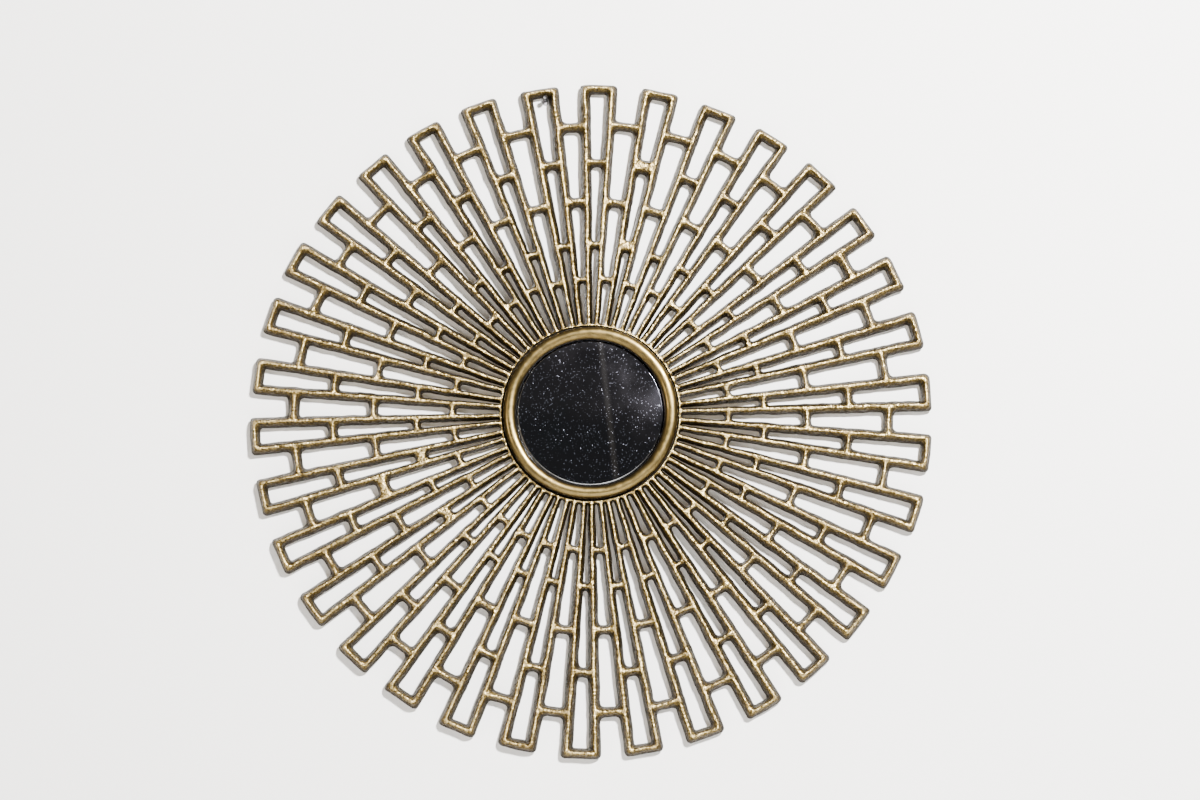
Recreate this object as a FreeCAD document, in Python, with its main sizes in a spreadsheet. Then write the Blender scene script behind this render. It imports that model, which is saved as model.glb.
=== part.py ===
import FreeCAD, Part
import os
import math
import Sketcher

# A round wall mirror in a cast sunburst frame.
# Frame: the wall is the plane y = 0, the mirror looks towards -Y and +Z is up.
# The origin is the centre of the mirror on the wall. "Depth" is the distance
# from the wall towards the viewer, so a depth of 10 is the plane y = -10.

SIZES = [
    ("outer_radius", 305.0, "centre to the finger tips"),
    ("finger_count", 34, "fingers round the rim"),
    ("first_finger_angle", 1.58, "clockwise from straight up, degrees"),
    ("finger_share", 0.4476, "angle between a finger's two rays, share of the pitch"),
    ("ray_rim_width", 10.0, "width of a ray at the rim, at its back"),
    ("ray_root_width", 4.6, "width of a ray at the hub, at its back"),
    ("end_bar_width", 9.2, "bar that closes a finger at its tip"),
    ("cross_bar_share", 0.88, "bar between two rays, share of a ray's width there"),
    ("row_1_share", 0.824, "bar across a gap, share of the way from hub to rim"),
    ("row_2_share", 0.672, "bar across a finger"),
    ("row_3_share", 0.505, "bar across a gap"),
    ("row_4_share", 0.330, "bar across a finger"),
    ("row_5_share", 0.187, "bar across a gap"),
    ("cell_corner_radius", 1.2, "corners of the openings, at the back"),
    ("cast_depth", 8.0, "front to back of the casting"),
    ("cast_draft", 12.0, "slope of the casting's side walls, degrees"),
    ("wall_gap", 3.0, "wall to the back of the casting, and the bumpers' thickness"),
    ("hub_margin", 2.6, "bezel to the start of the openings"),
    ("hub_recess_margin", 4.0, "start of the openings to the recess's edge"),
    ("bezel_inner_radius", 66.0, "sight opening"),
    ("bezel_width", 12.4, "bezel ring, a half round"),
    ("lip_width", 4.0, "bezel standing in over the glass"),
    ("glass_clearance", 0.6, "glass to the hub's bore, all round"),
    ("gasket_thickness", 0.8, "rubber ring in front of the glass"),
    ("glass_thickness", 3.0, "mirror glass"),
    ("bevel_width", 5.2, "polished slope at the rim of the glass"),
    ("bevel_depth", 0.9, "drop of the slope"),
    ("foam_thickness", 1.0, "soft disc between the glass and the board"),
    ("board_clearance", 1.0, "board and foam to the hub's bore, all round"),
    ("board_thickness", 2.5, "hardboard disc"),
    ("retainer_count", 4, "turn buttons, and bezel screws between them"),
    ("first_button_angle", 45.0, "clockwise from straight up, degrees"),
    ("button_pivot_inset", 4.8, "hub radius to the turn button's pivot"),
    ("button_reach", 14.5, "pivot to the turn button's nose"),
    ("button_width", 8.0, "turn button"),
    ("button_thickness", 1.3, "turn button"),
    ("button_play", 0.06, "turn button on its screw, radial"),
    ("button_screw_radius", 1.75, "shank"),
    ("button_screw_length", 6.3, "under the head"),
    ("button_head_radius", 3.2, "head"),
    ("button_head_height", 1.5, "head"),
    ("bezel_screw_radius", 1.5, "shank"),
    ("bezel_screw_grip", 4.0, "length in the bezel"),
    ("bezel_head_radius", 2.8, "head"),
    ("bezel_head_height", 1.6, "head"),
    ("thread_play", 0.05, "screw in its hole, radial"),
    ("hole_play", 0.2, "screw through the hub, radial"),
    ("recess_share", 0.5, "depth of a driver slot, share of the head's height"),
    ("slot_width", 0.8, "driver slot"),
    ("bumper_radius", 3.4, "rubber bumper behind a ray"),
    ("hang_finger", 1, "finger that hangs on the wall screw, counted left from the top one"),
    ("hang_screw_radius", 1.7, "wall screw's shank"),
    ("hang_head_radius", 2.4, "wall screw's head"),
    ("hang_head_height", 1.8, "wall screw's head"),
    ("hang_head_depth", 9.2, "wall to the underside of the wall screw's head"),
    ("hang_screw_in_wall", 32.0, "wall screw behind the wall's face, with its point"),
    ("hang_point_length", 5.0, "point of the wall screw"),
    ("hang_play", 0.15, "wall screw to the casting"),
    ("plug_radius", 3.0, "wall plug"),
    ("plug_length", 30.0, "wall plug behind the wall's face"),
    ("collar_radius", 4.2, "wall plug's collar"),
    ("collar_thickness", 0.9, "wall plug's collar"),
]

doc = FreeCAD.newDocument("sunburst_mirror")
sheet = doc.addObject("Spreadsheet::Sheet", "Sizes")
for row, (alias, value, note) in enumerate(SIZES, start=1):
    sheet.set("A" + str(row), note)
    sheet.set("B" + str(row), str(value))
    sheet.setAlias("B" + str(row), alias)
doc.recompute()

probe = doc.addObject("App::FeaturePython", "Probe")


def size(name):
    return "Sizes." + name


def number(expression):
    """The value of an expression on the sheet, as a plain number."""
    result = probe.evalExpression(expression)
    return float(getattr(result, "Value", result))


# ---- lengths that follow from the sheet, as expressions ----
RIM = size("outer_radius")
HUB = "(Sizes.bezel_inner_radius + Sizes.bezel_width + Sizes.hub_margin)"
BACK = size("wall_gap")
FRONT = "(Sizes.wall_gap + Sizes.cast_depth)"
PITCH = "(360 / Sizes.finger_count)"
FINGER_HALF_ANGLE = "(180 / Sizes.finger_count * Sizes.finger_share)"
GAP_HALF_ANGLE = "(180 / Sizes.finger_count * (1 - Sizes.finger_share))"
BORE = "(Sizes.bezel_inner_radius + Sizes.lip_width)"
GLASS_RADIUS = "(" + BORE + " - Sizes.glass_clearance)"
BOARD_RADIUS = "(" + BORE + " - Sizes.board_clearance)"
GLASS_FRONT = "(" + FRONT + " - Sizes.gasket_thickness)"
GLASS_BACK = "(" + GLASS_FRONT + " - Sizes.glass_thickness)"
BOARD_FRONT = "(" + GLASS_BACK + " - Sizes.foam_thickness)"
RECESS_FLOOR = "(" + BOARD_FRONT + " - Sizes.board_thickness)"
BEZEL_MIDDLE = "(Sizes.bezel_inner_radius + Sizes.bezel_width / 2)"
PIVOT_RADIUS = "(" + HUB + " - Sizes.button_pivot_inset)"
BEZEL_SCREW_CIRCLE = "((" + BORE + " + Sizes.bezel_inner_radius + Sizes.bezel_width) / 2)"
RETAINER_STEP = "(360 / Sizes.retainer_count)"


def row_radius(row):
    """Radius of a row of cross bars, between the hub and the rim."""
    return "(" + HUB + " + (" + RIM + " - " + HUB + ") * Sizes.row_" + str(row) + "_share)"


def ray_width(radius):
    """Width of a ray's back at a radius. It grows fast near the hub and levels off at the rim."""
    share = "((" + radius + " - " + HUB + ") / (" + RIM + " - " + HUB + "))"
    growth = share + " * (2 - " + share + ")"
    return "(Sizes.ray_root_width + (Sizes.ray_rim_width - Sizes.ray_root_width) * " + growth + ")"


def row_edge(row, side):
    """Edge of a row of cross bars: its outer side is +1 and its inner side -1."""
    half_bar = ray_width(row_radius(row)) + " * Sizes.cross_bar_share / 2"
    return "(" + row_radius(row) + " + (" + str(side) + ") * " + half_bar + ")"


def half_opening(radius, half_angle):
    """Half the width of an opening at a radius, between two rays."""
    return "((" + radius + ") * tan(" + half_angle + ") - " + ray_width(radius) + " / 2)"


# ---- helpers: bodies and sketches ----
def plane_of(body, role):
    return [feature for feature in body.Origin.OriginFeatures if feature.Role == role][0]


def new_body(name):
    body = doc.addObject("PartDesign::Body", name)
    body.Label = name
    return body


def sketch_at_depth(body, name, depth, turn="0"):
    """A sketch that faces the viewer, x to the right and y up, turned clockwise."""
    sketch = body.newObject("Sketcher::SketchObject", name)
    sketch.AttachmentSupport = [(plane_of(body, "XZ_Plane"), "")]
    sketch.MapMode = "FlatFace"
    sketch.AttachmentOffset = FreeCAD.Placement(
        FreeCAD.Vector(0, 0, 1), FreeCAD.Rotation(FreeCAD.Vector(0, 0, 1), 1))
    sketch.setExpression("AttachmentOffset.Base.z", depth)
    sketch.setExpression("AttachmentOffset.Rotation.Angle", "360 - (" + turn + ")")
    return sketch


def pin_point(sketch, geometry, vertex, x, y):
    """Fixes a vertex at x, y, both given as expressions."""
    for kind, expression in (("DistanceX", x), ("DistanceY", y)):
        index = sketch.addConstraint(Sketcher.Constraint(kind, geometry, vertex, number(expression)))
        sketch.setExpression("Constraints[" + str(index) + "]", expression)


def add_circle(sketch, x, y, radius):
    centre = FreeCAD.Vector(number(x), number(y), 0)
    circle = sketch.addGeometry(Part.Circle(centre, FreeCAD.Vector(0, 0, 1), number(radius)), False)
    pin_point(sketch, circle, 3, x, y)
    index = sketch.addConstraint(Sketcher.Constraint("Radius", circle, number(radius)))
    sketch.setExpression("Constraints[" + str(index) + "]", radius)


def rounded_corner(before, corner, after, radius):
    """Start, middle and end of the arc that rounds a corner."""
    to_before = (before - corner).normalize()
    to_after = (after - corner).normalize()
    half = to_before.getAngle(to_after) / 2
    middle_way = (to_before + to_after).normalize()
    run = radius / math.tan(half)
    reach = radius / math.sin(half) - radius
    return corner + to_before * run, corner + middle_way * reach, corner + to_after * run


def add_keystone(sketch, inner, outer, half_angle):
    """An opening between two rays, symmetric about the sketch's y axis.

    It runs from the inner to the outer radius, its sides follow the rays,
    and its four corners share one radius, limited by the narrow end."""
    corner_radius = "min(Sizes.cell_corner_radius; 0.9 * " + half_opening(inner, half_angle) + ")"
    radius = number(corner_radius)
    low = number(inner)
    high = number(outer)
    half_low = number(half_opening(inner, half_angle))
    half_high = number(half_opening(outer, half_angle))
    corners = [FreeCAD.Vector(-half_low, low, 0), FreeCAD.Vector(half_low, low, 0),
               FreeCAD.Vector(half_high, high, 0), FreeCAD.Vector(-half_high, high, 0)]
    arcs = [rounded_corner(corners[i - 1], corners[i], corners[(i + 1) % 4], radius)
            for i in range(4)]
    sides = [sketch.addGeometry(Part.LineSegment(arcs[i][2], arcs[(i + 1) % 4][0]), False)
             for i in range(4)]
    rounds = [sketch.addGeometry(Part.Arc(*arcs[i]), False) for i in range(4)]
    marks = [sketch.addGeometry(Part.Point(corner), True) for corner in corners]
    bottom, right, top, left = sides
    rules = []
    for i in range(4):
        rules.append(Sketcher.Constraint("Tangent", sides[i - 1], 2, rounds[i], 1))
        rules.append(Sketcher.Constraint("Tangent", rounds[i], 2, sides[i], 1))
    for other in rounds[1:]:
        rules.append(Sketcher.Constraint("Equal", rounds[0], other))
    rules.append(Sketcher.Constraint("Symmetric", marks[0], 1, marks[1], 1, -2))
    rules.append(Sketcher.Constraint("Symmetric", marks[3], 1, marks[2], 1, -2))
    for mark, pair in zip(marks, ((bottom, left), (bottom, right), (top, right), (top, left))):
        for side in pair:
            rules.append(Sketcher.Constraint("PointOnObject", mark, 1, side))
    sketch.addConstraint(rules)
    pin_point(sketch, marks[1], 1, half_opening(inner, half_angle), inner)
    pin_point(sketch, marks[2], 1, half_opening(outer, half_angle), outer)
    index = sketch.addConstraint(Sketcher.Constraint("Radius", rounds[0], radius))
    sketch.setExpression("Constraints[" + str(index) + "]", corner_radius)


def pad(body, name, sketch, length):
    feature = body.newObject("PartDesign::Pad", name)
    feature.Profile = sketch
    feature.setExpression("Length", length)
    return feature


def pocket_forward(body, name, sketch, length):
    """A pocket that runs from its sketch towards the viewer."""
    feature = body.newObject("PartDesign::Pocket", name)
    feature.Profile = sketch
    feature.Reversed = True
    feature.Refine = False
    feature.setExpression("Length", length)
    return feature


def pattern_round(body, name, features, count):
    pattern = body.newObject("PartDesign::PolarPattern", name)
    pattern.Originals = features
    pattern.Refine = False
    pattern.Axis = (plane_of(body, "Y_Axis"), [""])
    pattern.Angle = 360
    pattern.setExpression("Occurrences", count)
    body.Tip = pattern
    return pattern


# ---- helpers: primitives that stand along the depth ----
def stand(item, depth, x="0", z="0"):
    """Turns a primitive's own axis towards the viewer and sets its back at a depth."""
    item.Placement = FreeCAD.Placement(
        FreeCAD.Vector(0, 0, 0), FreeCAD.Rotation(FreeCAD.Vector(1, 0, 0), 90))
    item.setExpression("Placement.Base.x", x)
    item.setExpression("Placement.Base.y", "-(" + depth + ")")
    item.setExpression("Placement.Base.z", z)
    return item


def disc(name, radius, thickness, depth, x="0", z="0"):
    item = doc.addObject("Part::Cylinder", name)
    item.setExpression("Radius", radius)
    item.setExpression("Height", thickness)
    return stand(item, depth, x, z)


def frustum(name, back_radius, front_radius, thickness, depth, x="0", z="0"):
    item = doc.addObject("Part::Cone", name)
    item.setExpression("Radius1", back_radius)
    item.setExpression("Radius2", front_radius)
    item.setExpression("Height", thickness)
    return stand(item, depth, x, z)


def fuse(name, shapes):
    item = doc.addObject("Part::MultiFuse", name)
    item.Shapes = shapes
    return item


def cut(name, base, tool):
    item = doc.addObject("Part::Cut", name)
    item.Base = base
    item.Tool = tool
    return item


def group(name, shapes):
    item = doc.addObject("Part::Compound", name)
    item.Label = name
    item.Links = shapes
    return item


def polar(radius, angle):
    """x and z of a point at a radius and a clockwise angle, as expressions."""
    return ("(" + radius + ") * sin(" + angle + ")", "(" + radius + ") * cos(" + angle + ")")


# ---- the cast frame ----
def make_frame():
    """A disc with a bore, cut into rays, cross bars and open-ended fingers."""
    body = new_body("sunburst_frame")
    rim_sketch = sketch_at_depth(body, "FrameRim", BACK)
    add_circle(rim_sketch, "0", "0", RIM)
    blank = pad(body, "FrameBlank", rim_sketch, size("cast_depth"))
    blank.setExpression("TaperAngle", "-Sizes.cast_draft")

    bore_sketch = sketch_at_depth(body, "FrameBoreSketch", BACK)
    add_circle(bore_sketch, "0", "0", BORE)
    pocket_forward(body, "FrameBore", bore_sketch, size("cast_depth"))

    recess_sketch = sketch_at_depth(body, "FrameRecessSketch", BACK)
    add_circle(recess_sketch, "0", "0", HUB + " + Sizes.hub_recess_margin")
    pocket_forward(body, "FrameRecess", recess_sketch, RECESS_FLOOR + " - " + BACK)

    bezel_hole_sketch = sketch_at_depth(
        body, "BezelHoleSketch", BACK, "Sizes.first_button_angle + " + RETAINER_STEP + " / 2")
    bezel_hole_radius = "(Sizes.bezel_screw_radius + Sizes.hole_play)"
    add_circle(bezel_hole_sketch, "0", BEZEL_SCREW_CIRCLE, bezel_hole_radius)
    bezel_hole = pocket_forward(body, "BezelHole", bezel_hole_sketch, size("cast_depth"))

    pilot_sketch = sketch_at_depth(body, "PilotSketch", BACK, size("first_button_angle"))
    add_circle(pilot_sketch, "0", PIVOT_RADIUS, "(Sizes.button_screw_radius + Sizes.thread_play)")
    pilot_end = "(" + RECESS_FLOOR + " - Sizes.button_thickness + Sizes.button_screw_length)"
    pilot = pocket_forward(body, "PilotHole", pilot_sketch,
                           pilot_end + " - " + BACK + " + Sizes.thread_play")
    pattern_round(body, "HubHoles", [bezel_hole, pilot], size("retainer_count"))

    finger_angle = size("first_finger_angle")
    finger_cells = [
        (row_edge(2, 1), RIM + " - Sizes.end_bar_width"),
        (row_edge(4, 1), row_edge(2, -1)),
        (HUB, row_edge(4, -1)),
    ]
    gap_cells = [
        (row_edge(1, 1), RIM + " + Sizes.end_bar_width"),
        (row_edge(3, 1), row_edge(1, -1)),
        (row_edge(5, 1), row_edge(3, -1)),
        (HUB, row_edge(5, -1)),
    ]
    cells = [(cell, FINGER_HALF_ANGLE, finger_angle) for cell in finger_cells]
    gap_angle = finger_angle + " + " + PITCH + " / 2"
    cells += [(cell, GAP_HALF_ANGLE, gap_angle) for cell in gap_cells]
    openings = []
    for index, ((inner, outer), half_angle, turn) in enumerate(cells, start=1):
        cell_sketch = sketch_at_depth(body, "CellSketch" + str(index), BACK, turn)
        add_keystone(cell_sketch, inner, outer, half_angle)
        opening = pocket_forward(body, "Cell" + str(index), cell_sketch, size("cast_depth"))
        opening.setExpression("TaperAngle", size("cast_draft"))
        openings.append(opening)
    pattern_round(body, "AllCells", openings, size("finger_count"))


# ---- the bezel, the glass and what holds them ----
def make_bezel():
    """A half-round ring over the hub, with tapped holes in its flat back."""
    body = new_body("bezel_ring")
    profile = body.newObject("Sketcher::SketchObject", "BezelProfile")
    profile.AttachmentSupport = [(plane_of(body, "YZ_Plane"), "")]
    profile.MapMode = "FlatFace"
    seat = -number(FRONT)
    middle = number(BEZEL_MIDDLE)
    radius = number(size("bezel_width") + " / 2")
    centre = FreeCAD.Vector(seat, middle, 0)
    across = FreeCAD.Vector(0, radius, 0)
    crest = FreeCAD.Vector(-radius, 0, 0)
    arc = profile.addGeometry(Part.Arc(centre + across, centre + crest, centre - across), False)
    flat = profile.addGeometry(Part.LineSegment(centre - across, centre + across), False)
    profile.addConstraint([
        Sketcher.Constraint("Coincident", arc, 2, flat, 1),
        Sketcher.Constraint("Coincident", arc, 1, flat, 2),
        Sketcher.Constraint("PointOnObject", arc, 3, flat),
        Sketcher.Constraint("Vertical", flat),
    ])
    pin_point(profile, arc, 3, "-" + FRONT, BEZEL_MIDDLE)
    index = profile.addConstraint(Sketcher.Constraint("Radius", arc, radius))
    profile.setExpression("Constraints[" + str(index) + "]", size("bezel_width") + " / 2")
    ring = body.newObject("PartDesign::Revolution", "BezelRing")
    ring.Profile = profile
    ring.ReferenceAxis = (profile, ["H_Axis"])
    ring.Angle = 360
    hole_sketch = sketch_at_depth(
        body, "BezelTapSketch", FRONT, "Sizes.first_button_angle + " + RETAINER_STEP + " / 2")
    add_circle(hole_sketch, "0", BEZEL_SCREW_CIRCLE, "(Sizes.bezel_screw_radius + Sizes.thread_play)")
    hole = pocket_forward(body, "BezelTap", hole_sketch,
                          "Sizes.bezel_screw_grip + 2 * Sizes.thread_play")
    pattern_round(body, "BezelTaps", [hole], size("retainer_count"))


def make_glass_stack():
    """Gasket, bevelled glass, foam pad and hardboard disc, front to back."""
    outside = disc("GasketOutside", GLASS_RADIUS, size("gasket_thickness"), GLASS_FRONT)
    inside = disc("GasketInside", "(Sizes.bezel_inner_radius + Sizes.lip_width / 8)",
                  size("gasket_thickness"), GLASS_FRONT)
    gasket = cut("glass_gasket", outside, inside)
    gasket.Label = "glass_gasket"

    flat_part = disc("GlassFlat", GLASS_RADIUS, "Sizes.glass_thickness - Sizes.bevel_depth", GLASS_BACK)
    slope = frustum("GlassSlope", GLASS_RADIUS, "(" + GLASS_RADIUS + " - Sizes.bevel_width)",
                    size("bevel_depth"), GLASS_FRONT + " - Sizes.bevel_depth")
    glass = fuse("mirror_glass", [flat_part, slope])
    glass.Label = "mirror_glass"

    pad_disc = disc("foam_pad", BOARD_RADIUS, size("foam_thickness"), BOARD_FRONT)
    pad_disc.Label = "foam_pad"
    board = disc("backing_board", BOARD_RADIUS, size("board_thickness"), RECESS_FLOOR)
    board.Label = "backing_board"


def make_turn_button(number_in_ring):
    """A flat latch on a screw: round at the pivot, its nose pointing to the centre."""
    name = "turn_button_" + str(number_in_ring)
    body = new_body(name)
    angle = "(Sizes.first_button_angle + " + str(number_in_ring - 1) + " * " + RETAINER_STEP + ")"
    outline = sketch_at_depth(body, "ButtonOutline" + str(number_in_ring),
                              RECESS_FLOOR + " - Sizes.button_thickness", angle)
    half = number(size("button_width") + " / 2")
    pivot = number(PIVOT_RADIUS)
    nose = pivot - number(size("button_reach") + " - Sizes.button_width / 2")
    top = FreeCAD.Vector(0, pivot, 0)
    tip = FreeCAD.Vector(0, nose, 0)
    side = FreeCAD.Vector(half, 0, 0)
    up = FreeCAD.Vector(0, half, 0)
    head = outline.addGeometry(Part.Arc(top + side, top + up, top - side), False)
    left = outline.addGeometry(Part.LineSegment(top - side, tip - side), False)
    foot = outline.addGeometry(Part.Arc(tip - side, tip - up, tip + side), False)
    right = outline.addGeometry(Part.LineSegment(tip + side, top + side), False)
    outline.addConstraint([
        Sketcher.Constraint("Tangent", head, 2, left, 1),
        Sketcher.Constraint("Tangent", left, 2, foot, 1),
        Sketcher.Constraint("Tangent", foot, 2, right, 1),
        Sketcher.Constraint("Tangent", right, 2, head, 1),
    ])
    pin_point(outline, head, 3, "0", PIVOT_RADIUS)
    pin_point(outline, foot, 3, "0",
              "(" + PIVOT_RADIUS + " - Sizes.button_reach + Sizes.button_width / 2)")
    index = outline.addConstraint(Sketcher.Constraint("Radius", head, half))
    outline.setExpression("Constraints[" + str(index) + "]", size("button_width") + " / 2")
    add_circle(outline, "0", PIVOT_RADIUS, "(Sizes.button_screw_radius + Sizes.button_play)")
    plate = pad(body, "ButtonPlate" + str(number_in_ring), outline, size("button_thickness"))
    body.Tip = plate


def make_screw(name, sizes, back, x, z):
    """A domed screw whose head is at the back: head, shank and a driver slot."""
    head_radius, head_height, shank_radius, shank_length = sizes
    head = frustum(name + "Head", "(0.7 * " + head_radius + ")", head_radius, head_height, back, x, z)
    shank = disc(name + "Shank", shank_radius, shank_length, back + " + " + head_height, x, z)
    whole = fuse(name + "Whole", [head, shank])
    slot = doc.addObject("Part::Box", name + "Slot")
    slot.setExpression("Length", "2 * " + head_radius)
    slot.setExpression("Width", head_height + " * Sizes.recess_share")
    slot.setExpression("Height", size("slot_width"))
    slot.setExpression("Placement.Base.x", x + " - " + head_radius)
    slot.setExpression("Placement.Base.y", "-(" + back + " + " + head_height + " * Sizes.recess_share)")
    slot.setExpression("Placement.Base.z", z + " - Sizes.slot_width / 2")
    return cut(name, whole, slot)


def make_screws():
    """Turn button screws and, between them, the bezel screws."""
    button_sizes = (size("button_head_radius"), size("button_head_height"),
                    size("button_screw_radius"), size("button_screw_length"))
    bezel_reach = "(" + FRONT + " - " + RECESS_FLOOR + " + Sizes.bezel_screw_grip)"
    bezel_sizes = (size("bezel_head_radius"), size("bezel_head_height"),
                   size("bezel_screw_radius"), bezel_reach)
    button_back = "(" + RECESS_FLOOR + " - Sizes.button_thickness - Sizes.button_head_height)"
    bezel_back = "(" + RECESS_FLOOR + " - Sizes.bezel_head_height)"
    button_screws = []
    bezel_screws = []
    for k in range(int(number(size("retainer_count")))):
        angle = "Sizes.first_button_angle + " + str(k) + " * " + RETAINER_STEP
        x, z = polar(PIVOT_RADIUS, angle)
        button_screws.append(make_screw("ButtonScrew" + str(k + 1), button_sizes, button_back, x, z))
        x, z = polar(BEZEL_SCREW_CIRCLE, angle + " + " + RETAINER_STEP + " / 2")
        bezel_screws.append(make_screw("BezelScrew" + str(k + 1), bezel_sizes, bezel_back, x, z))
    group("turn_button_screws", button_screws)
    group("bezel_screws", bezel_screws)


def make_bumpers():
    """Four rubber discs between the wall and the rays, at the outer row of cross bars."""
    bumpers = []
    for k in range(4):
        finger = "floor(Sizes.finger_count * " + str(2 * k + 1) + " / 8)"
        angle = "Sizes.first_finger_angle + " + finger + " * " + PITCH + " + " + FINGER_HALF_ANGLE
        x, z = polar(row_radius(1), angle)
        bumpers.append(disc("Bumper" + str(k + 1), size("bumper_radius"), BACK, "0", x, z))
    group("wall_bumpers", bumpers)


def make_wall_hardware():
    """A screw in a wall plug. The tip bar of one finger rests on its shank."""
    reach = "(" + RIM + " - Sizes.end_bar_width - Sizes.hang_screw_radius - Sizes.hang_play)"
    side = ("(" + half_opening(reach, FINGER_HALF_ANGLE)
            + " - Sizes.hang_screw_radius - Sizes.hang_play)")
    axis = "(Sizes.first_finger_angle - Sizes.hang_finger * " + PITCH + ")"
    x = "(" + reach + " * sin(" + axis + ") + " + side + " * cos(" + axis + "))"
    z = "(" + reach + " * cos(" + axis + ") - " + side + " * sin(" + axis + "))"
    in_wall = size("hang_screw_in_wall")
    point_end = "-" + in_wall
    shank_start = "(Sizes.hang_point_length - " + in_wall + ")"
    point = frustum("HangPoint", "0.2", size("hang_screw_radius"), size("hang_point_length"),
                    point_end, x, z)
    shank = disc("HangShank", size("hang_screw_radius"),
                 "Sizes.hang_head_depth - " + shank_start, shank_start, x, z)
    head = frustum("HangHead", size("hang_head_radius"), "(0.7 * Sizes.hang_head_radius)",
                   size("hang_head_height"), size("hang_head_depth"), x, z)
    screw = fuse("wall_screw", [point, shank, head])
    screw.Label = "wall_screw"

    plug_body = disc("PlugBody", size("plug_radius"), size("plug_length"), "-Sizes.plug_length", x, z)
    collar = disc("PlugCollar", size("collar_radius"), size("collar_thickness"), "0", x, z)
    plug_whole = fuse("PlugWhole", [plug_body, collar])
    hole = disc("PlugHole", "(Sizes.hang_screw_radius + Sizes.thread_play)",
                "Sizes.plug_length + Sizes.collar_thickness", "-Sizes.plug_length", x, z)
    plug = cut("wall_plug", plug_whole, hole)
    plug.Label = "wall_plug"


make_frame()
make_bezel()
make_glass_stack()
button_count = int(number(size("retainer_count")))
for position in range(1, button_count + 1):
    make_turn_button(position)
make_screws()
make_bumpers()
make_wall_hardware()
doc.recompute()

NODES = ["sunburst_frame", "bezel_ring", "glass_gasket", "mirror_glass", "foam_pad", "backing_board"]
NODES += ["turn_button_" + str(position) for position in range(1, button_count + 1)]
NODES += ["turn_button_screws", "bezel_screws", "wall_bumpers", "wall_screw", "wall_plug"]

for item in doc.Objects:
    if "Invalid" in item.State or "Error" in item.State:
        raise RuntimeError(item.Name + " did not build")
os.makedirs("parts", exist_ok=True)
for node in NODES:
    shape = doc.getObjectsByLabel(node)[0].Shape
    if shape.isNull() or not shape.isValid() or not shape.Solids:
        raise RuntimeError(node + " has no valid solid")
    shape.exportStep("parts/" + node + ".step")
    box = shape.BoundBox
    print(node, len(shape.Solids), "solids, volume", round(shape.Volume, 1), "mm3, depth",
          round(-box.YMax, 2), "to", round(-box.YMin, 2))
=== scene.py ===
import bpy
import math
import numpy as np
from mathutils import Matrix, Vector


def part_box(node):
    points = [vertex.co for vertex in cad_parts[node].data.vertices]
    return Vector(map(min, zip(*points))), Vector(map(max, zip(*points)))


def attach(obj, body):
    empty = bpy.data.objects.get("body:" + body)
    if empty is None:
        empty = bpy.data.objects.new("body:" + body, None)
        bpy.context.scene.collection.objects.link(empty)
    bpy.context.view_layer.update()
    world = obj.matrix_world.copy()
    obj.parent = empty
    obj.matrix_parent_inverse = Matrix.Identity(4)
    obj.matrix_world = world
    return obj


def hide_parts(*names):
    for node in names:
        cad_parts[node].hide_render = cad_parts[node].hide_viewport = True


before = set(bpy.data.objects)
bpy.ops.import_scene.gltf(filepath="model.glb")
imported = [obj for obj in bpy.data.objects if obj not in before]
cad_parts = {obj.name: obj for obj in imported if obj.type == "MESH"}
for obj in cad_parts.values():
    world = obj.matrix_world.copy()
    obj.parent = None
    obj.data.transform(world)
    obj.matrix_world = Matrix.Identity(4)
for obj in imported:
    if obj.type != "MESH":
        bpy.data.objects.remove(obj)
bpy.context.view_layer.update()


def boxOf(node):
    # Outer radius, then the depths of back and front: distances from the wall towards the viewer
    low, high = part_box(node)
    return high[0], -high[1], -low[1]


rimRadius, castBack, castFront = boxOf("sunburst_frame")
bezelOuter, _, bezelCrest = boxOf("bezel_ring")
glassRadius, glassBack, glassFront = boxOf("mirror_glass")
boardRadius, recessFloor, boardFront = boxOf("backing_board")
print("frame loaded:", len(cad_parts), "nodes")


def mergeSame(points, faces):
    # Points with the same coordinates, to a hundredth of a micron, become one
    keys = np.round(points * 1e8).astype(np.int64)
    _, first, inverse = np.unique(keys, axis=0, return_index=True, return_inverse=True)
    inverse = inverse.reshape(-1)
    merged = inverse[faces]
    flat = (merged[:, 0] == merged[:, 1]).astype(int) + (merged[:, 1] == merged[:, 2])
    flat = flat + (merged[:, 2] == merged[:, 3]) + (merged[:, 3] == merged[:, 0])
    return first, merged[flat < 2]


def meshPiece(name, points, faces, values=None, sharpAngle=40.0):
    # A mesh object from points (n, 3), quads (m, 4) and named values per point.
    # A quad with two equal corners is written as a triangle.
    sides = [tuple(dict.fromkeys(quad)) for quad in faces.tolist()]
    mesh = bpy.data.meshes.new(name)
    mesh.from_pydata(points.tolist(), [], sides)
    for key, numbers in (values or {}).items():
        layer = mesh.attributes.new(key, "FLOAT", "POINT")
        layer.data.foreach_set("value", np.ascontiguousarray(numbers, dtype=np.float32))
    mesh.shade_smooth()
    mesh.set_sharp_from_angle(angle=math.radians(sharpAngle))
    mesh.update()
    piece = bpy.data.objects.new(name, mesh)
    bpy.context.scene.collection.objects.link(piece)
    return piece


def gridFaces(nu, nv, closeU=False, closeV=False):
    # Quads of a grid of nu by nv points, stored row by row, joined round if closed
    u = np.arange(nu if closeU else nu - 1)
    v = np.arange(nv if closeV else nv - 1)
    uu, vv = np.meshgrid(u, v, indexing="ij")
    nextU = (uu + 1) % nu
    nextV = (vv + 1) % nv
    quads = np.stack([uu * nv + vv, nextU * nv + vv, nextU * nv + nextV, uu * nv + nextV], -1)
    return quads.reshape(-1, 4)


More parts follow.
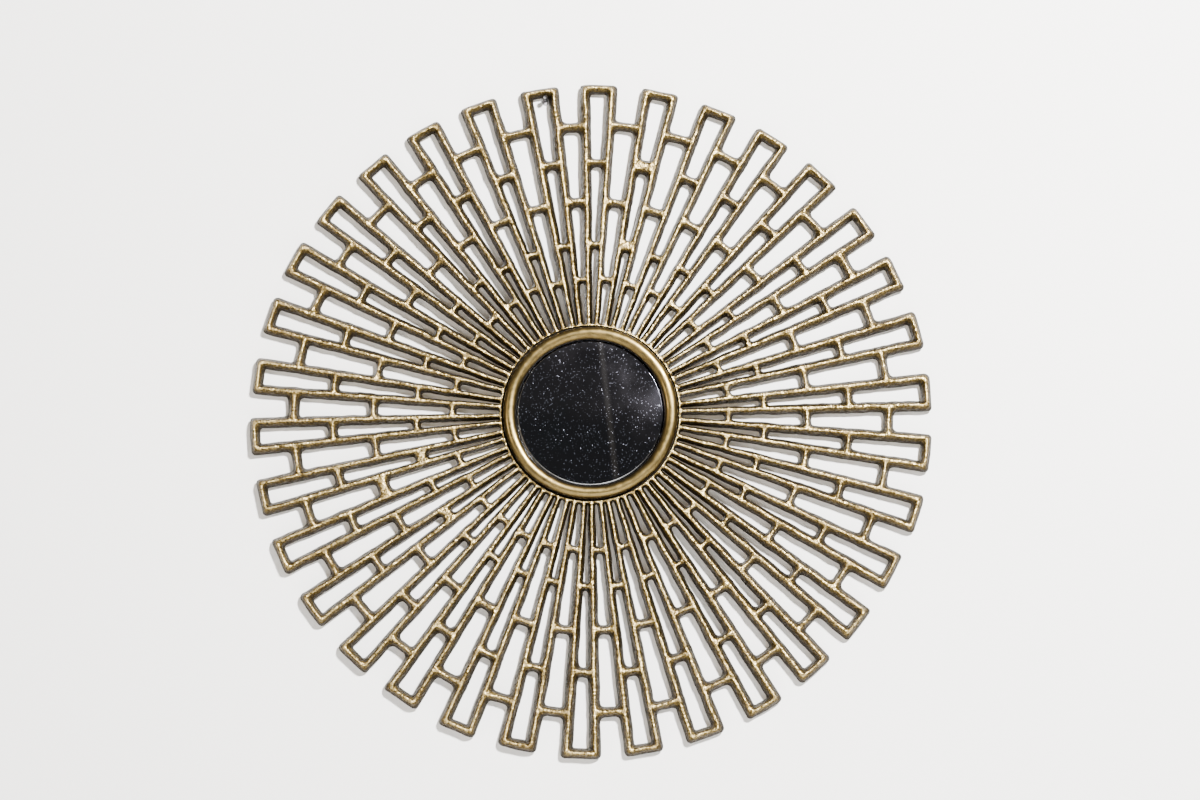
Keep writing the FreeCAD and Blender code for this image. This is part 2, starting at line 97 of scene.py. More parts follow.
def lumps(x, z, wavelength, seed, waves=9):
    # A smooth uneven field from -1 to 1: the sum of plane waves in random directions
    draw = np.random.default_rng(seed)
    angle = draw.uniform(0, 2 * np.pi, waves)
    count = 2 * np.pi / (wavelength * draw.uniform(0.7, 1.5, waves))
    phase = draw.uniform(0, 2 * np.pi, waves)
    total = np.zeros(np.shape(x))
    for a, k, p in zip(angle, count, phase):
        total = total + np.sin(k * (np.cos(a) * x + np.sin(a) * z) + p)
    return total / math.sqrt(waves)


def outward(points, faces):
    # Quads turned so that they enclose a positive volume: the sum of the tetrahedra to the origin
    corner = points[faces]
    first = np.einsum("ij,ij->i", corner[:, 0], np.cross(corner[:, 1], corner[:, 2]))
    second = np.einsum("ij,ij->i", corner[:, 0], np.cross(corner[:, 2], corner[:, 3]))
    return faces if first.sum() + second.sum() > 0 else faces[:, ::-1]


def lathe(profile, turns, shape=None, centre=(0.0, 0.0), marks=None):
    # A closed profile of (radius, depth) pairs carried round an axis along the depth at centre.
    # shape(turn, radius, depth) may move both. A radius of 0 is a pole: its points become one.
    # marks holds a value for each point of the profile, and is carried round with it.
    turn = np.linspace(0, 2 * np.pi, turns, endpoint=False)[:, None]
    radius = np.tile(profile[:, 0], (turns, 1))
    depth = np.tile(profile[:, 1], (turns, 1))
    if shape is not None:
        radius, depth = shape(turn, radius, depth)
    points = np.stack([centre[0] + radius * np.sin(turn), -depth, centre[1] + radius * np.cos(turn)], -1)
    points = points.reshape(-1, 3)
    first, faces = mergeSame(points, gridFaces(turns, len(profile), True, True))
    marks = np.zeros(len(profile)) if marks is None else np.array(marks)
    return points[first], outward(points[first], faces), np.tile(marks, turns)[first]


def joined(parts):
    # One set of points and faces from several; each part is points, faces, values
    counts = np.cumsum([0] + [len(part[0]) for part in parts])
    return (np.concatenate([part[0] for part in parts]),
            np.concatenate([part[1] + count for part, count in zip(parts, counts)]),
            np.concatenate([part[2] for part in parts]))


def finishPiece(piece, body, node, material):
    piece.data.materials.append(material)
    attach(piece, body)
    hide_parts(node)


# Rays are straight lines from the hub to the finger tips, two to a finger. Cross bars join
# them in rows. Every opening, the notches and the outside are strips of rails: a rail starts
# on the ridge of a bar, goes over the crest and down the drafted wall to the back edge, and
# returns behind the bar to the middle of its back. Strips that share a ridge share its points.

cast = {
    "fingers": 34,
    "firstAngle": 1.58,          # clockwise from straight up, degrees
    "fingerShare": 0.4476,       # angle between a finger's two rays, share of the pitch
    "rimWidth": 0.0100,          # a ray's width at its back
    "rootWidth": 0.0046,
    "rootSwell": 0.0015,         # the sand draft fills the narrow gaps near the hub
    "crossShare": 0.88,          # a cross bar's width, share of a ray's there
    "endWidth": 0.0092,
    "rowShares": (0.187, 0.330, 0.505, 0.672, 0.824),   # hub to rim, gap and finger rows in turn
    "bore": 0.0700,              # radius of the opening behind the mirror
    "recess": 0.0850,            # radius of the recess round it at the back
    "hubStart": bezelOuter + 0.0026,
    "hubRidge": 0.0798,          # the low ridge round the hub where the rays end
    "hubEdge": 0.0815,           # openings start here
    "tipRound": 0.0042,
    "ridgeRound": 0.0030,
    "cornerTip": 0.0017,         # inside corners of the openings, at the finger tips
    "cornerRim": 0.0036,
    "cornerHub": 0.0032,
    "cornerNotch": 0.0042,
    "crestRim": 0.17,            # half width of the rounded crest, share of a bar's half width
    "crestHub": 0.28,
    "crestCross": 0.17,
    "webHub": 0.16,              # added to crestCross near the hub, where the webs are broad
    "crestRound": 0.0005,        # drop of the crest's shoulders
    "angleJitter": 0.16,         # degrees
    "rowJitter": 0.0011,
    "seed": 11,
}


def roundedOpening(a, b, low, high, halfWidth, roundLow, roundHigh):
    # The outline of a rounded keystone. (a, b) runs round the square from -1 to 1; the point
    # is the nearest on a core shape inside, pushed out by the corner radius towards (a, b).
    middle = (low + high) / 2
    reach = (high - low) / 2
    u = middle + b * reach
    v = a * halfWidth(u)
    corner = np.where(b < 0, roundLow, roundHigh)
    corner = np.minimum(corner, 0.97 * halfWidth(u))
    coreU = np.clip(u, low + corner, high - corner)
    room = np.maximum(halfWidth(coreU) - corner, 0)
    coreV = np.clip(v, -room, room)
    du = u - coreU
    dv = v - coreV
    length = np.maximum(np.hypot(du, dv), 1e-9)
    return coreU + du / length * corner, coreV + dv / length * corner


def makeSunburst():
    draw = np.random.default_rng(cast["seed"])
    n = cast["fingers"]
    rim = rimRadius
    hub = cast["hubRidge"]
    tipRidge = rim - cast["endWidth"] / 2
    pitch = 2 * np.pi / n
    finger = math.radians(cast["firstAngle"]) + pitch * np.arange(n)
    finger = finger + np.radians(cast["angleJitter"]) * draw.uniform(-1, 1, n)
    half = pitch / 2 * cast["fingerShare"] * (1 + 0.02 * draw.uniform(-1, 1, n))
    rayAngle = np.stack([finger - half, finger + half], 1).reshape(-1)      # clockwise order
    rays = 2 * n
    rayBulk = 1 + 0.07 * draw.uniform(-1, 1, rays)

    # heights of the rows: 0 hub, 1 to 5 rows of bars, 6 finger tips
    hubBase = cast["hubStart"]
    rows = hubBase + np.array(cast["rowShares"]) * (rim - hubBase)
    level = np.zeros((rays, 7))
    level[:, 0] = hub
    level[:, 6] = tipRidge
    leftOf = {"finger": 2 * np.arange(n), "gap": 2 * np.arange(n) + 1}
    rightOf = {"finger": 2 * np.arange(n) + 1, "gap": (2 * np.arange(n) + 2) % rays}
    kindOf = {1: "gap", 2: "finger", 3: "gap", 4: "finger", 5: "gap"}
    for row in range(1, 6):
        kind = kindOf[row]
        middle = rows[row - 1] + cast["rowJitter"] * draw.uniform(-1, 1, n)
        tilt = 0.0005 * draw.uniform(-1, 1, n)
        level[leftOf[kind], row] = middle - tilt
        level[rightOf[kind], row] = middle + tilt
    # the other kind of row passes each ray too, so every ray has all seven heights
    tipShift = 0.0009 * draw.uniform(-1, 1, n)
    level[leftOf["finger"], 6] += tipShift
    level[rightOf["finger"], 6] += tipShift

    step = np.array([0, 0.045, 0.11, 0.24, 0.42, 0.60, 0.78, 0.89, 0.955])
    along = np.concatenate([np.arange(6)[:, None] + step[None, :]]).reshape(-1)
    along = np.concatenate([along[:-1], [5.93, 5.95, 5.968, 5.985, 6.0]])
    levelIndex = {k: int(np.argmin(abs(along - k))) for k in range(7)}
    lower = np.minimum(along.astype(int), 5)
    part = along - lower
    rayRadius = level[:, lower] * (1 - part) + level[:, lower + 1] * part      # (rays, samples)

    def rayWidth(radius):
        # grows fast near the hub and levels off at the rim
        share = np.clip((radius - hubBase) / (rim - hubBase), 0, 1)
        swell = cast["rootSwell"] * (1 - share)
        return cast["rootWidth"] + (cast["rimWidth"] - cast["rootWidth"]) * share * (2 - share) + swell

    def crossHalf(radius):
        return rayWidth(radius) * cast["crossShare"] / 2

    crossWay = np.array([0, 0.04, 0.1, 0.22, 0.5, 0.78, 0.9, 0.96, 1.0])

    # a few bars came out of the sand thick: finger or gap, number clockwise, row, extra width
    fatBars = {("finger", 1, 4): 0.0035, ("finger", 1, 2): 0.0028, ("gap", 5, 5): 0.0012,
               ("finger", 10, 3): 0.001, ("gap", 13, 2): 0.0022, ("finger", 22, 2): 0.0026,
               ("gap", 23, 3): 0.0024, ("finger", 24, 2): 0.003, ("gap", 25, 5): 0.0012}

    rayHalf = rayWidth(rayRadius) / 2 * rayBulk[:, None]
    outwardShare = np.clip((rayRadius - hub) / (rim - hub), 0, 1) ** 0.6
    rayCrest = rayHalf * (cast["crestHub"] + (cast["crestRim"] - cast["crestHub"]) * outwardShare)

    turnRound = cast["ridgeRound"]
    patches = []

    def polarOf(radius, angle):
        return np.stack([radius * np.sin(angle), radius * np.cos(angle)], -1)

    def addPatch(ridge, edge, crest, half, sag, closed):
        # ridge and edge: (copies, samples, 2) in x and z. crest and half: half widths of the
        # rounded top and of the bar's back. Rails are longer in corners, so the crest widens there.
        rail = edge - ridge
        length = np.linalg.norm(rail, axis=-1)
        way = rail / np.maximum(length, 1e-9)[..., None]
        corner = np.clip(length / np.maximum(half, 1e-4), 0.8, 2.2)
        top = np.minimum(crest * corner ** 2.1, 0.62 * length)
        wall = length - top
        deep = castFront - castBack
        drop = cast["crestRound"] * np.clip(top / 0.0016, 0.5, 1.2)
        backAt = np.where(np.linalg.norm(ridge, axis=-1) < cast["recess"], recessFloor, castBack)
        # how far along the rail, and how far below the crest; the last two lie on the back
        far = [0 * top, 0.55 * top, top, top + 0.22 * wall, top + 0.50 * wall,
               top + 0.74 * wall, length, length - 0.0004, 0 * top]
        fall = [0 * top, 0.20 * drop, drop, drop + 0.15 * (deep - drop), drop + 0.36 * (deep - drop),
                drop + 0.58 * (deep - drop), deep - 0.0004 + 0 * top, None, None]
        # rubbed wear on the crest, and painted shade: the value falls down the wall to 0 at the back edge,
        # where the material turns near black
        wearAndShade = [1.0, 0.95, 0.64, 0.46, 0.36, 0.09, 0.0, 0.0, 0.0]
        points = []
        for distance, down in zip(far, fall):
            spot = ridge + way * distance[..., None]
            depth = backAt if down is None else np.maximum(castFront - sag - down, backAt + 0.0004)
            points.append(np.stack([spot[..., 0], -depth, spot[..., 1]], -1))
        grid = np.stack(points, 2)                          # (copies, samples, rows, 3)
        wornAndShaded = np.broadcast_to(np.array(wearAndShade), grid.shape[:3])
        patches.append((grid, wornAndShaded, closed))

    column = {}
    for kind in ("finger", "gap"):
        left, right = leftOf[kind], rightOf[kind]
        spread = ((rayAngle[right] - rayAngle[left]) % (2 * np.pi)) / 2
        column[kind] = (left, right, rayAngle[left] + spread, spread)

    def cornerArc(fromEnd):
        # angle along the arc of a finger's corner, and how far the arc lies inside the corner
        phi = np.pi / 4 * np.clip(1 - fromEnd / turnRound, 0, 1)
        return phi, turnRound * (1 - np.cos(phi))

    def crossLine(kind, row):
        left, right, _, spread = column[kind]
        index = levelIndex[row]
        turn = 2 * spread
        angle = rayAngle[left][:, None] + turn[:, None] * crossWay
        atLeft, atRight = rayRadius[left, index][:, None], rayRadius[right, index][:, None]
        radius = atLeft * (1 - crossWay) + atRight * crossWay
        points = polarOf(radius, angle)
        if row == 6:
            # the crest turns the finger's corners in an arc, shared with the rays
            width = np.linalg.norm(points[:, -1] - points[:, 0], axis=1)[:, None]
            fromEnd = np.minimum(crossWay, 1 - crossWay) * width
            phi, inward = cornerArc(fromEnd)
            aside = np.where(phi > 0, turnRound - turnRound * np.sin(phi) - fromEnd, 0) / width
            way = crossWay + np.where(crossWay < 0.5, aside, -aside)
            angle = rayAngle[left][:, None] + turn[:, None] * way
            points = polarOf(radius - inward, angle)
        points[:, 0] = rayPoints[left, index]
        points[:, -1] = rayPoints[right, index]
        sagging = 0.0007 * np.sin(np.pi * crossWay) if 0 < row < 6 else 0 * crossWay
        return points, np.broadcast_to(sagging, radius.shape)

    phi, inward = cornerArc(rayRadius[:, -1:] - rayRadius)
    tipRadius = np.where(phi > 0, rayRadius[:, -1:] - turnRound + turnRound * np.sin(phi), rayRadius)
    towards = np.where(np.arange(rays) % 2 == 0, 1.0, -1.0)[:, None]
    tipAngle = rayAngle[:, None] + towards * inward / rayRadius
    rayPoints = polarOf(tipRadius, tipAngle)
    raySag = 0 * rayRadius
    hubSag = 0.0006

    def halfWidthOf(spread, bulkLeft, bulkRight, grow=-1.0):
        bulk = (bulkLeft + bulkRight) / 2
        return lambda u: u * np.tan(spread)[:, None] + grow * rayWidth(u) * bulk[:, None] / 2

    def fatness(kind, row):
        extra = np.zeros(n)
        for (barKind, number, barRow), more in fatBars.items():
            if barKind == kind and barRow == row:
                extra[number] = more
        return extra

    def toPlane(u, v, centre):
        s = np.sin(centre)[:, None]
        c = np.cos(centre)[:, None]
        return np.stack([u * s + v * c, u * c - v * s], -1)

    cells = [("finger", 0, 2), ("finger", 2, 4), ("finger", 4, 6),
             ("gap", 0, 1), ("gap", 1, 3), ("gap", 3, 5)]
    across = 2 * crossWay - 1
    flat = 0 * across
    one = np.ones((n, len(crossWay)))
    for kind, lowRow, highRow in cells:
        left, right, centre, spread = column[kind]
        lowAt, highAt = levelIndex[lowRow], levelIndex[highRow]
        lowLine, lowSag = crossLine(kind, lowRow)
        highLine, highSag = crossLine(kind, highRow)
        inner = slice(lowAt + 1, highAt)

        def outline(low, rayValues, high):
            # low bar, up the right ray, high bar, down the left ray
            upward, downward = rayValues[right][:, inner], rayValues[left][:, inner][:, ::-1]
            return np.concatenate([low, upward, high, downward], 1)

        ridge = outline(lowLine, rayPoints, highLine[:, ::-1])
        sag = outline(lowSag, raySag, highSag[:, ::-1])
        if lowRow == 0:
            sag = sag + hubSag * np.clip(1 - (np.linalg.norm(ridge, axis=-1) - hub) / 0.006, 0, 1)
        lowR, highR = rayRadius[:, [lowAt]], rayRadius[:, [highAt]]
        hand = np.ones((rays, 1))
        hand[left] = -1
        a = outline(across * one, hand + 0 * rayRadius, across[::-1] * one)
        b = outline(-one, 2 * (rayRadius - lowR) / (highR - lowR) - 1, one)
        lowFat = fatness(kind, lowRow)[:, None]
        highFat = fatness(kind, highRow)[:, None]
        lowMiddle = (lowR[left] + lowR[right]) / 2
        highMiddle = (highR[left] + highR[right]) / 2
        lowHalf = crossHalf(lowMiddle) * (1 + 0.09 * draw.uniform(-1, 1, (n, 1))) + lowFat
        highHalf = crossHalf(highMiddle) * (1 + 0.09 * draw.uniform(-1, 1, (n, 1))) + 0.4 * highFat
        if lowRow == 0:
            lowHalf = cast["hubEdge"] - lowMiddle + 0.0008 * draw.uniform(0, 1, (n, 1))
        if highRow == 6:
            highHalf = cast["endWidth"] / 2 + 0 * highHalf
        low = lowMiddle + lowHalf
        high = highMiddle - highHalf
        uneven = 1 + 0.25 * draw.uniform(-1, 1, (n, 1))

        def cornerAt(radius, far):
            # rounding of the corners and share of the crest, both larger near the hub
            nearHub = np.clip(1 - (radius - hub) / 0.16, 0, 1)
            rounding = (far + (cast["cornerHub"] - far) * nearHub) * uneven
            return rounding, cast["crestCross"] + cast["webHub"] * nearHub

        roundLow, broadLow = cornerAt(low, cast["cornerRim"])
        roundHigh, broadHigh = cornerAt(high, cast["cornerTip" if highRow == 6 else "cornerRim"])
        width = halfWidthOf(spread, rayBulk[left], rayBulk[right])
        edge = toPlane(*roundedOpening(a, b, low, high, width, roundLow, roundHigh), centre)
        crestHigh = broadHigh * highHalf + 0.3 * highFat
        if highRow == 6:
            crestHigh = cast["crestRim"] * 0.85 * highHalf
        crest = outline(broadLow * lowHalf + 0.8 * lowFat + flat, rayCrest, crestHigh + flat)
        crest = (np.roll(crest, 1, 1) + crest + np.roll(crest, -1, 1)) / 3
        addPatch(ridge, edge, crest, outline(lowHalf + flat, rayHalf, highHalf + flat), sag, True)

    # notches between the fingers: down one ray, along the outer cross bar, up the next ray
    left, right, centre, spread = column["gap"]
    fingerLeft, fingerRight, fingerCentre, fingerSpread = column["finger"]
    notchHalf = halfWidthOf(spread, rayBulk[left], rayBulk[right])
    tipAt = levelIndex[6]
    tips = (rayRadius[fingerLeft, tipAt] + rayRadius[fingerRight, tipAt])[:, None] / 2
    tips = tips + cast["endWidth"] / 2
    lowAt = levelIndex[5]
    bar, barSag = crossLine("gap", 5)
    barMiddle = (rayRadius[left, lowAt] + rayRadius[right, lowAt])[:, None] / 2
    barHalf = crossHalf(barMiddle) + fatness("gap", 5)[:, None]

    def sideOfNotch(ray, hand, fingerOf):
        # samples on one ray from the bar to the finger's corner: outlines of notch and finger
        span = slice(lowAt + 1, tipAt + 1)
        radius = rayRadius[ray][:, span]
        start = rayRadius[ray, lowAt][:, None]
        end = rayRadius[ray, tipAt][:, None]
        middle = (start + end) / 2
        foot = start + barHalf
        tip = tips[fingerOf]
        stretchedLow = foot + (radius - start) * (middle - foot) / (middle - start)
        stretchedHigh = middle + (radius - middle) * (tip - middle) / (end - middle)
        top = rim + 0.03
        bLow = 2 * (stretchedLow - foot) / (top - foot) - 1
        lowEdge = toPlane(*roundedOpening(hand + 0 * radius, bLow, foot, top, notchHalf,
                                          cast["cornerNotch"], cast["cornerNotch"]), centre)
        base = middle - 0.02
        bHigh = 2 * (stretchedHigh - base) / (tip - base) - 1
        fingerHalf = halfWidthOf(fingerSpread[fingerOf], rayBulk[fingerLeft[fingerOf]],
                                 rayBulk[fingerRight[fingerOf]], 1.0)
        highEdge = toPlane(*roundedOpening(-hand + 0 * radius, bHigh, base, tip, fingerHalf,
                                           0.0005, cast["tipRound"]), fingerCentre[fingerOf])
        edge = np.where((radius > middle)[..., None], highEdge, lowEdge)
        return rayPoints[ray][:, span], edge, rayCrest[ray][:, span], rayHalf[ray][:, span]

    ids = np.arange(n)
    leftRidge, leftEdge, leftCrest, leftHalf = sideOfNotch(left, -1.0, ids)
    rightRidge, rightEdge, rightCrest, rightHalf = sideOfNotch(right, 1.0, (ids + 1) % n)
    barEdge = toPlane(*roundedOpening(across * one, -one, barMiddle + barHalf, rim + 0.03, notchHalf,
                                      cast["cornerNotch"], cast["cornerNotch"]), centre)
    ridge = np.concatenate([leftRidge[:, ::-1], bar, rightRidge], 1)
    edge = np.concatenate([leftEdge[:, ::-1], barEdge, rightEdge], 1)
    crest = np.concatenate([leftCrest[:, ::-1], cast["crestCross"] * barHalf + 0 * barSag, rightCrest], 1)
    bulk = np.concatenate([leftHalf[:, ::-1], barHalf + 0 * barSag, rightHalf], 1)
    sag = np.concatenate([0 * leftCrest, barSag, 0 * rightCrest], 1)
    addPatch(ridge, edge, crest, bulk, sag, False)

    # the outer side of the end bars
    endBar, endSag = crossLine("finger", 6)
    fingerHalf = halfWidthOf(fingerSpread, rayBulk[fingerLeft], rayBulk[fingerRight], 1.0)
    uEnd, vEnd = roundedOpening(across * one, one, tips - 0.03, tips, fingerHalf, 0.0005, cast["tipRound"])
    arched = uEnd + (tips - uEnd.max(axis=1, keepdims=True))
    endEdge = toPlane(arched, vEnd, fingerCentre)
    endHalf = cast["endWidth"] / 2 + 0 * endSag
    endCrest = cast["crestRim"] * endHalf
    for last, ray in ((0, fingerLeft), (-1, fingerRight)):
        endHalf[:, last] = rayHalf[ray, tipAt]
        endCrest[:, last] = rayCrest[ray, tipAt]
    addPatch(endBar[:, ::-1], endEdge[:, ::-1], endCrest[:, ::-1], endHalf[:, ::-1], endSag, False)

    # inside the hub: over a dark groove, under the bezel, down the bore and back behind
    hubParts = []
    for kind in ("finger", "gap"):
        line, _ = crossLine(kind, 0)
        hubParts.append(line[:, ::-1])
    under = [(None, hubSag), (0.0793, 0.0011), (0.0788, 0.0022), (0.0780, 0.0022),
             (0.0774, 0.0001), (cast["bore"], 0.0001)]
    for line in hubParts:
        angle = np.arctan2(line[..., 0], line[..., 1])
        points = []
        for radius, down in under:
            spot = line if radius is None else polarOf(radius + 0 * angle, angle)
            points.append(np.stack([spot[..., 0], -(castFront - down) + 0 * angle, spot[..., 1]], -1))
        spot = polarOf(cast["bore"] + 0 * angle, angle)
        points.append(np.stack([spot[..., 0], -recessFloor + 0 * angle, spot[..., 1]], -1))
        points.append(np.stack([line[..., 0], -recessFloor + 0 * angle, line[..., 1]], -1))
        grid = np.stack(points, 2)
        # painted shade: from the groove at the bezel's foot inwards the value is 0, so the casting turns
        # near black there
        wornAndShaded = np.broadcast_to(np.array([0.6, 0.3, 0, 0, 0, 0, 0, 0]), grid.shape[:3])
        patches.append((grid, wornAndShaded, False))

    parts = []
    for grid, wornAndShaded, closed in patches:
        copies, samples, railRows, _ = grid.shape
        shift = np.arange(copies)[:, None, None] * samples * railRows
        faces = (gridFaces(samples, railRows, closed, False)[None] + shift).reshape(-1, 4)
        parts.append((grid.reshape(-1, 3), faces, wornAndShaded.reshape(-1)))
    points, faces, wearAndShade = joined(parts)
    first, faces = mergeSame(points, faces)
    points = points[first]
    wearAndShade = wearAndShade[first]
    # hand-cast unevenness: outlines wander, crests and walls are lumpy
    x = points[:, 0].copy()
    z = points[:, 2].copy()
    free = np.clip((np.hypot(x, z) - np.where(-points[:, 1] > 0.006, 0.0795, 0.087)) / 0.01, 0, 1)
    points[:, 0] += free * (0.00022 * lumps(x, z, 0.022, 1) + 0.00013 * lumps(x, z, 0.006, 2))
    points[:, 2] += free * (0.00022 * lumps(x, z, 0.022, 3) + 0.00013 * lumps(x, z, 0.006, 4))
    front = np.clip((-points[:, 1] - recessFloor - 0.0002) / (castFront - recessFloor), 0, 1)
    uneven = 0.00020 * lumps(x, z, 0.012, 5) + 0.00020 * lumps(x, z, 0.0045, 6)
    points[:, 1] += free * front * (uneven + 0.0002)
    faces = outward(points, faces)
    behind = (points[:, 1] > -(castBack + 0.0001)).astype(float)
    behind = np.maximum(behind, (points[:, 1] > -(recessFloor + 0.0001)) * (np.hypot(x, z) < 0.086))
    piece = meshPiece("sunburstCasting", points, faces, {"crest": wearAndShade, "behind": behind}, 50)
    print("sunburst casting:", len(points), "points,", len(faces), "faces")
    return piece


# Shared effects: each is a node group, built once and placed with its own values

def fill(socket, value):
    # Joins a socket, or writes a number, a vector or a colour
    if isinstance(value, bpy.types.NodeSocket):
        socket.id_data.links.new(value, socket)
    else:
        socket.default_value = (*value, 1) if socket.type == "RGBA" else value


def newNode(tree, kind, values=None, **settings):
    node = tree.nodes.new(kind)
    for key, setting in settings.items():
        setattr(node, key, setting)
    for key, value in (values or {}).items():
        fill(node.inputs[key], value)
    return node


def maths(operation, first, second, clamp=False):
    # A Math node; each side is a socket or a number
    tree = (second if isinstance(first, float) else first).id_data
    node = newNode(tree, "ShaderNodeMath", {0: first, 1: second}, operation=operation, use_clamp=clamp)
    return node.outputs[0]


def times(first, second, clamp=False):
    return maths("MULTIPLY", first, second, clamp)


def plus(first, second, clamp=False):
    return maths("ADD", first, second, clamp)


def between(value, low, high):
    # 0 below low, 1 above high, smooth in the middle; high may be the smaller
    values = {"Value": value, "From Min": low, "From Max": high}
    node = newNode(value.id_data, "ShaderNodeMapRange", values, interpolation_type="SMOOTHSTEP")
    return node.outputs["Result"]


def ramp(factor, *stops):
    # Each stop is a place and a colour or a grey
    node = newNode(factor.id_data, "ShaderNodeValToRGB", {"Fac": factor})
    elements = node.color_ramp.elements
    while len(elements) < len(stops):
        elements.new(0.5)
    for element, (position, colour) in zip(elements, stops):
        element.position = position
        element.color = (*colour, 1) if isinstance(colour, tuple) else (colour, colour, colour, 1)
    return node.outputs["Color"]


def mix(factor, first, second, blend="MIX"):
    # Each colour is a socket or three numbers
    values = {"Factor": factor, 6: first, 7: second}
    return newNode(factor.id_data, "ShaderNodeMix", values, data_type="RGBA", blend_type=blend).outputs[2]


def bump(height, strength, distance):
    values = {"Height": height, "Strength": strength, "Distance": distance}
    return newNode(height.id_data, "ShaderNodeBump", values).outputs["Normal"]


def objectSpace(tree):
    return newNode(tree, "ShaderNodeTexCoord").outputs["Object"]


def noise(tree, scale, detail, spot=None):
    values = {"Scale": scale, "Detail": detail, "Roughness": 0.55, "Vector": spot or objectSpace(tree)}
    return newNode(tree, "ShaderNodeTexNoise", values).outputs["Fac"]


def startGroup(name, inputs, outputs):
    group = bpy.data.node_groups.new(name, "ShaderNodeTree")
    for key, value in inputs.items():
        socket = group.interface.new_socket(key, in_out="INPUT", socket_type="NodeSocketFloat")
        socket.default_value = value
    for key in outputs:
        group.interface.new_socket(key, in_out="OUTPUT", socket_type="NodeSocketFloat")
    return group, group.nodes.new("NodeGroupInput").outputs, group.nodes.new("NodeGroupOutput").inputs


def makeSandGrain():
    # Sand cast skin: soft lumps, fine grain and small pits. Height for a Bump node, and a pit mask
    scales = {"Lump Scale": 260, "Grain Scale": 1300, "Pit Scale": 330}
    group, given, result = startGroup("sandGrain", scales, ("Height", "Pits"))
    spot = objectSpace(group)
    lump = noise(group, given["Lump Scale"], 2, spot)
    grain = noise(group, given["Grain Scale"], 3, spot)
    cellValues = {"Vector": spot, "Scale": given["Pit Scale"]}
    cell = newNode(group, "ShaderNodeTexVoronoi", cellValues, feature="F1").outputs
    split = newNode(group, "ShaderNodeSeparateColor", {"Color": cell["Color"]}).outputs
    pits = times(between(cell["Distance"], 0.30, 0.16), between(split["Red"], 0.62, 0.70))
    height = plus(times(lump, 0.9), times(grain, 0.35))
    fill(result["Height"], maths("SUBTRACT", height, times(pits, 0.35)))
    fill(result["Pits"], pits)
    return group


def makeRubbedEdge():
    # Where hands and cloths have rubbed the patina off: an edge mask, broken up by noise
    group, given, result = startGroup("rubbedEdge", {"Edge": 0, "Break Up": 0.5, "Scale": 700}, ("Rubbed",))
    uneven = times(maths("SUBTRACT", noise(group, given["Scale"], 3), 0.5), given["Break Up"])
    fill(result["Rubbed"], plus(given["Edge"], times(uneven, given["Edge"]), True))
    return group


def makeSettledDust():
    # Dust: a thin film on faces that look up, and specks of uneven size everywhere
    amounts = {"Film": 0.2, "Specks": 0.5, "Speck Scale": 500, "Speck Level": 0.70}
    group, given, result = startGroup("settledDust", amounts, ("Film", "Specks"))
    spot = newNode(group, "ShaderNodeTexCoord").outputs
    split = newNode(group, "ShaderNodeSeparateXYZ", {0: spot["Normal"]}).outputs
    patchy = between(noise(group, 60, 3, spot["Object"]), 0.35, 0.7)
    fill(result["Film"], times(times(between(split["Z"], 0.25, 1.0), patchy), given["Film"], True))
    above = maths("SUBTRACT", noise(group, given["Speck Scale"], 1, spot["Object"]), given["Speck Level"])
    fill(result["Specks"], times(between(above, 0.0, 0.05), given["Specks"], True))
    return group


sandGrain = makeSandGrain()
rubbedEdge = makeRubbedEdge()
settledDust = makeSettledDust()
print("effects made")


def newMaterial(name):
    material = bpy.data.materials.new(name)
    material.use_nodes = True
    return material, material.node_tree


def wire(material, values):
    for key, value in values.items():
        fill(material.node_tree.nodes["Principled BSDF"].inputs[key], value)
    return material


def use(tree, group, values):
    return newNode(tree, "ShaderNodeGroup", values, node_tree=group).outputs


def readValue(tree, name):
    return newNode(tree, "ShaderNodeAttribute", attribute_name=name).outputs["Fac"]


def rubbedIn(tree, breakUp, scale):
    edge = readValue(tree, "crest")
    return use(tree, rubbedEdge, {"Edge": edge, "Break Up": breakUp, "Scale": scale})["Rubbed"]


def makeCastBrass():
    # Antique finish: bright cream gold where it is rubbed and a dark wash in the recesses, with painted
    # shade: the flanks turn brown and then near black towards their back edge
    material, tree = newMaterial("castBrass")
    skin = use(tree, sandGrain, {"Lump Scale": 190, "Grain Scale": 640, "Pit Scale": 300})
    rubbed = rubbedIn(tree, 2.4, 520)
    # painted shade: by the crest mark the colour darkens from the rubbed crest down the walls to near black
    # at their back edge
    colour = ramp(rubbed, (0.0, (0.010, 0.007, 0.003)), (0.12, (0.015, 0.0105, 0.004)),
                  (0.24, (0.025, 0.017, 0.0055)), (0.36, (0.044, 0.030, 0.0095)),
                  (0.60, (0.100, 0.069, 0.021)), (0.82, (0.30, 0.22, 0.085)), (1.0, (0.60, 0.46, 0.215)))
    blotch = between(noise(tree, 45, 4), 0.38, 0.66)
    colour = mix(times(blotch, 0.35), colour, (0.50, 0.40, 0.25), "MULTIPLY")
    colour = mix(times(skin["Pits"], 0.75), colour, (0.02, 0.014, 0.007))
    colour = mix(use(tree, settledDust, {"Film": 0.18})["Film"], colour, (0.14, 0.12, 0.09))
    # the back is the bare casting under a thin, uneven brown coat
    bare = mix(blotch, (0.20, 0.16, 0.10), (0.10, 0.075, 0.042))
    return wire(material, {"Base Color": mix(readValue(tree, "behind"), colour, bare),
                           "Roughness": ramp(rubbed, (0.0, 0.60), (0.35, 0.42), (1.0, 0.30)),
                           "Metallic": ramp(rubbed, (0.0, 0.80), (0.3, 0.94), (1.0, 1.0)),
                           "Normal": bump(skin["Height"], 1.0, 0.0022)})


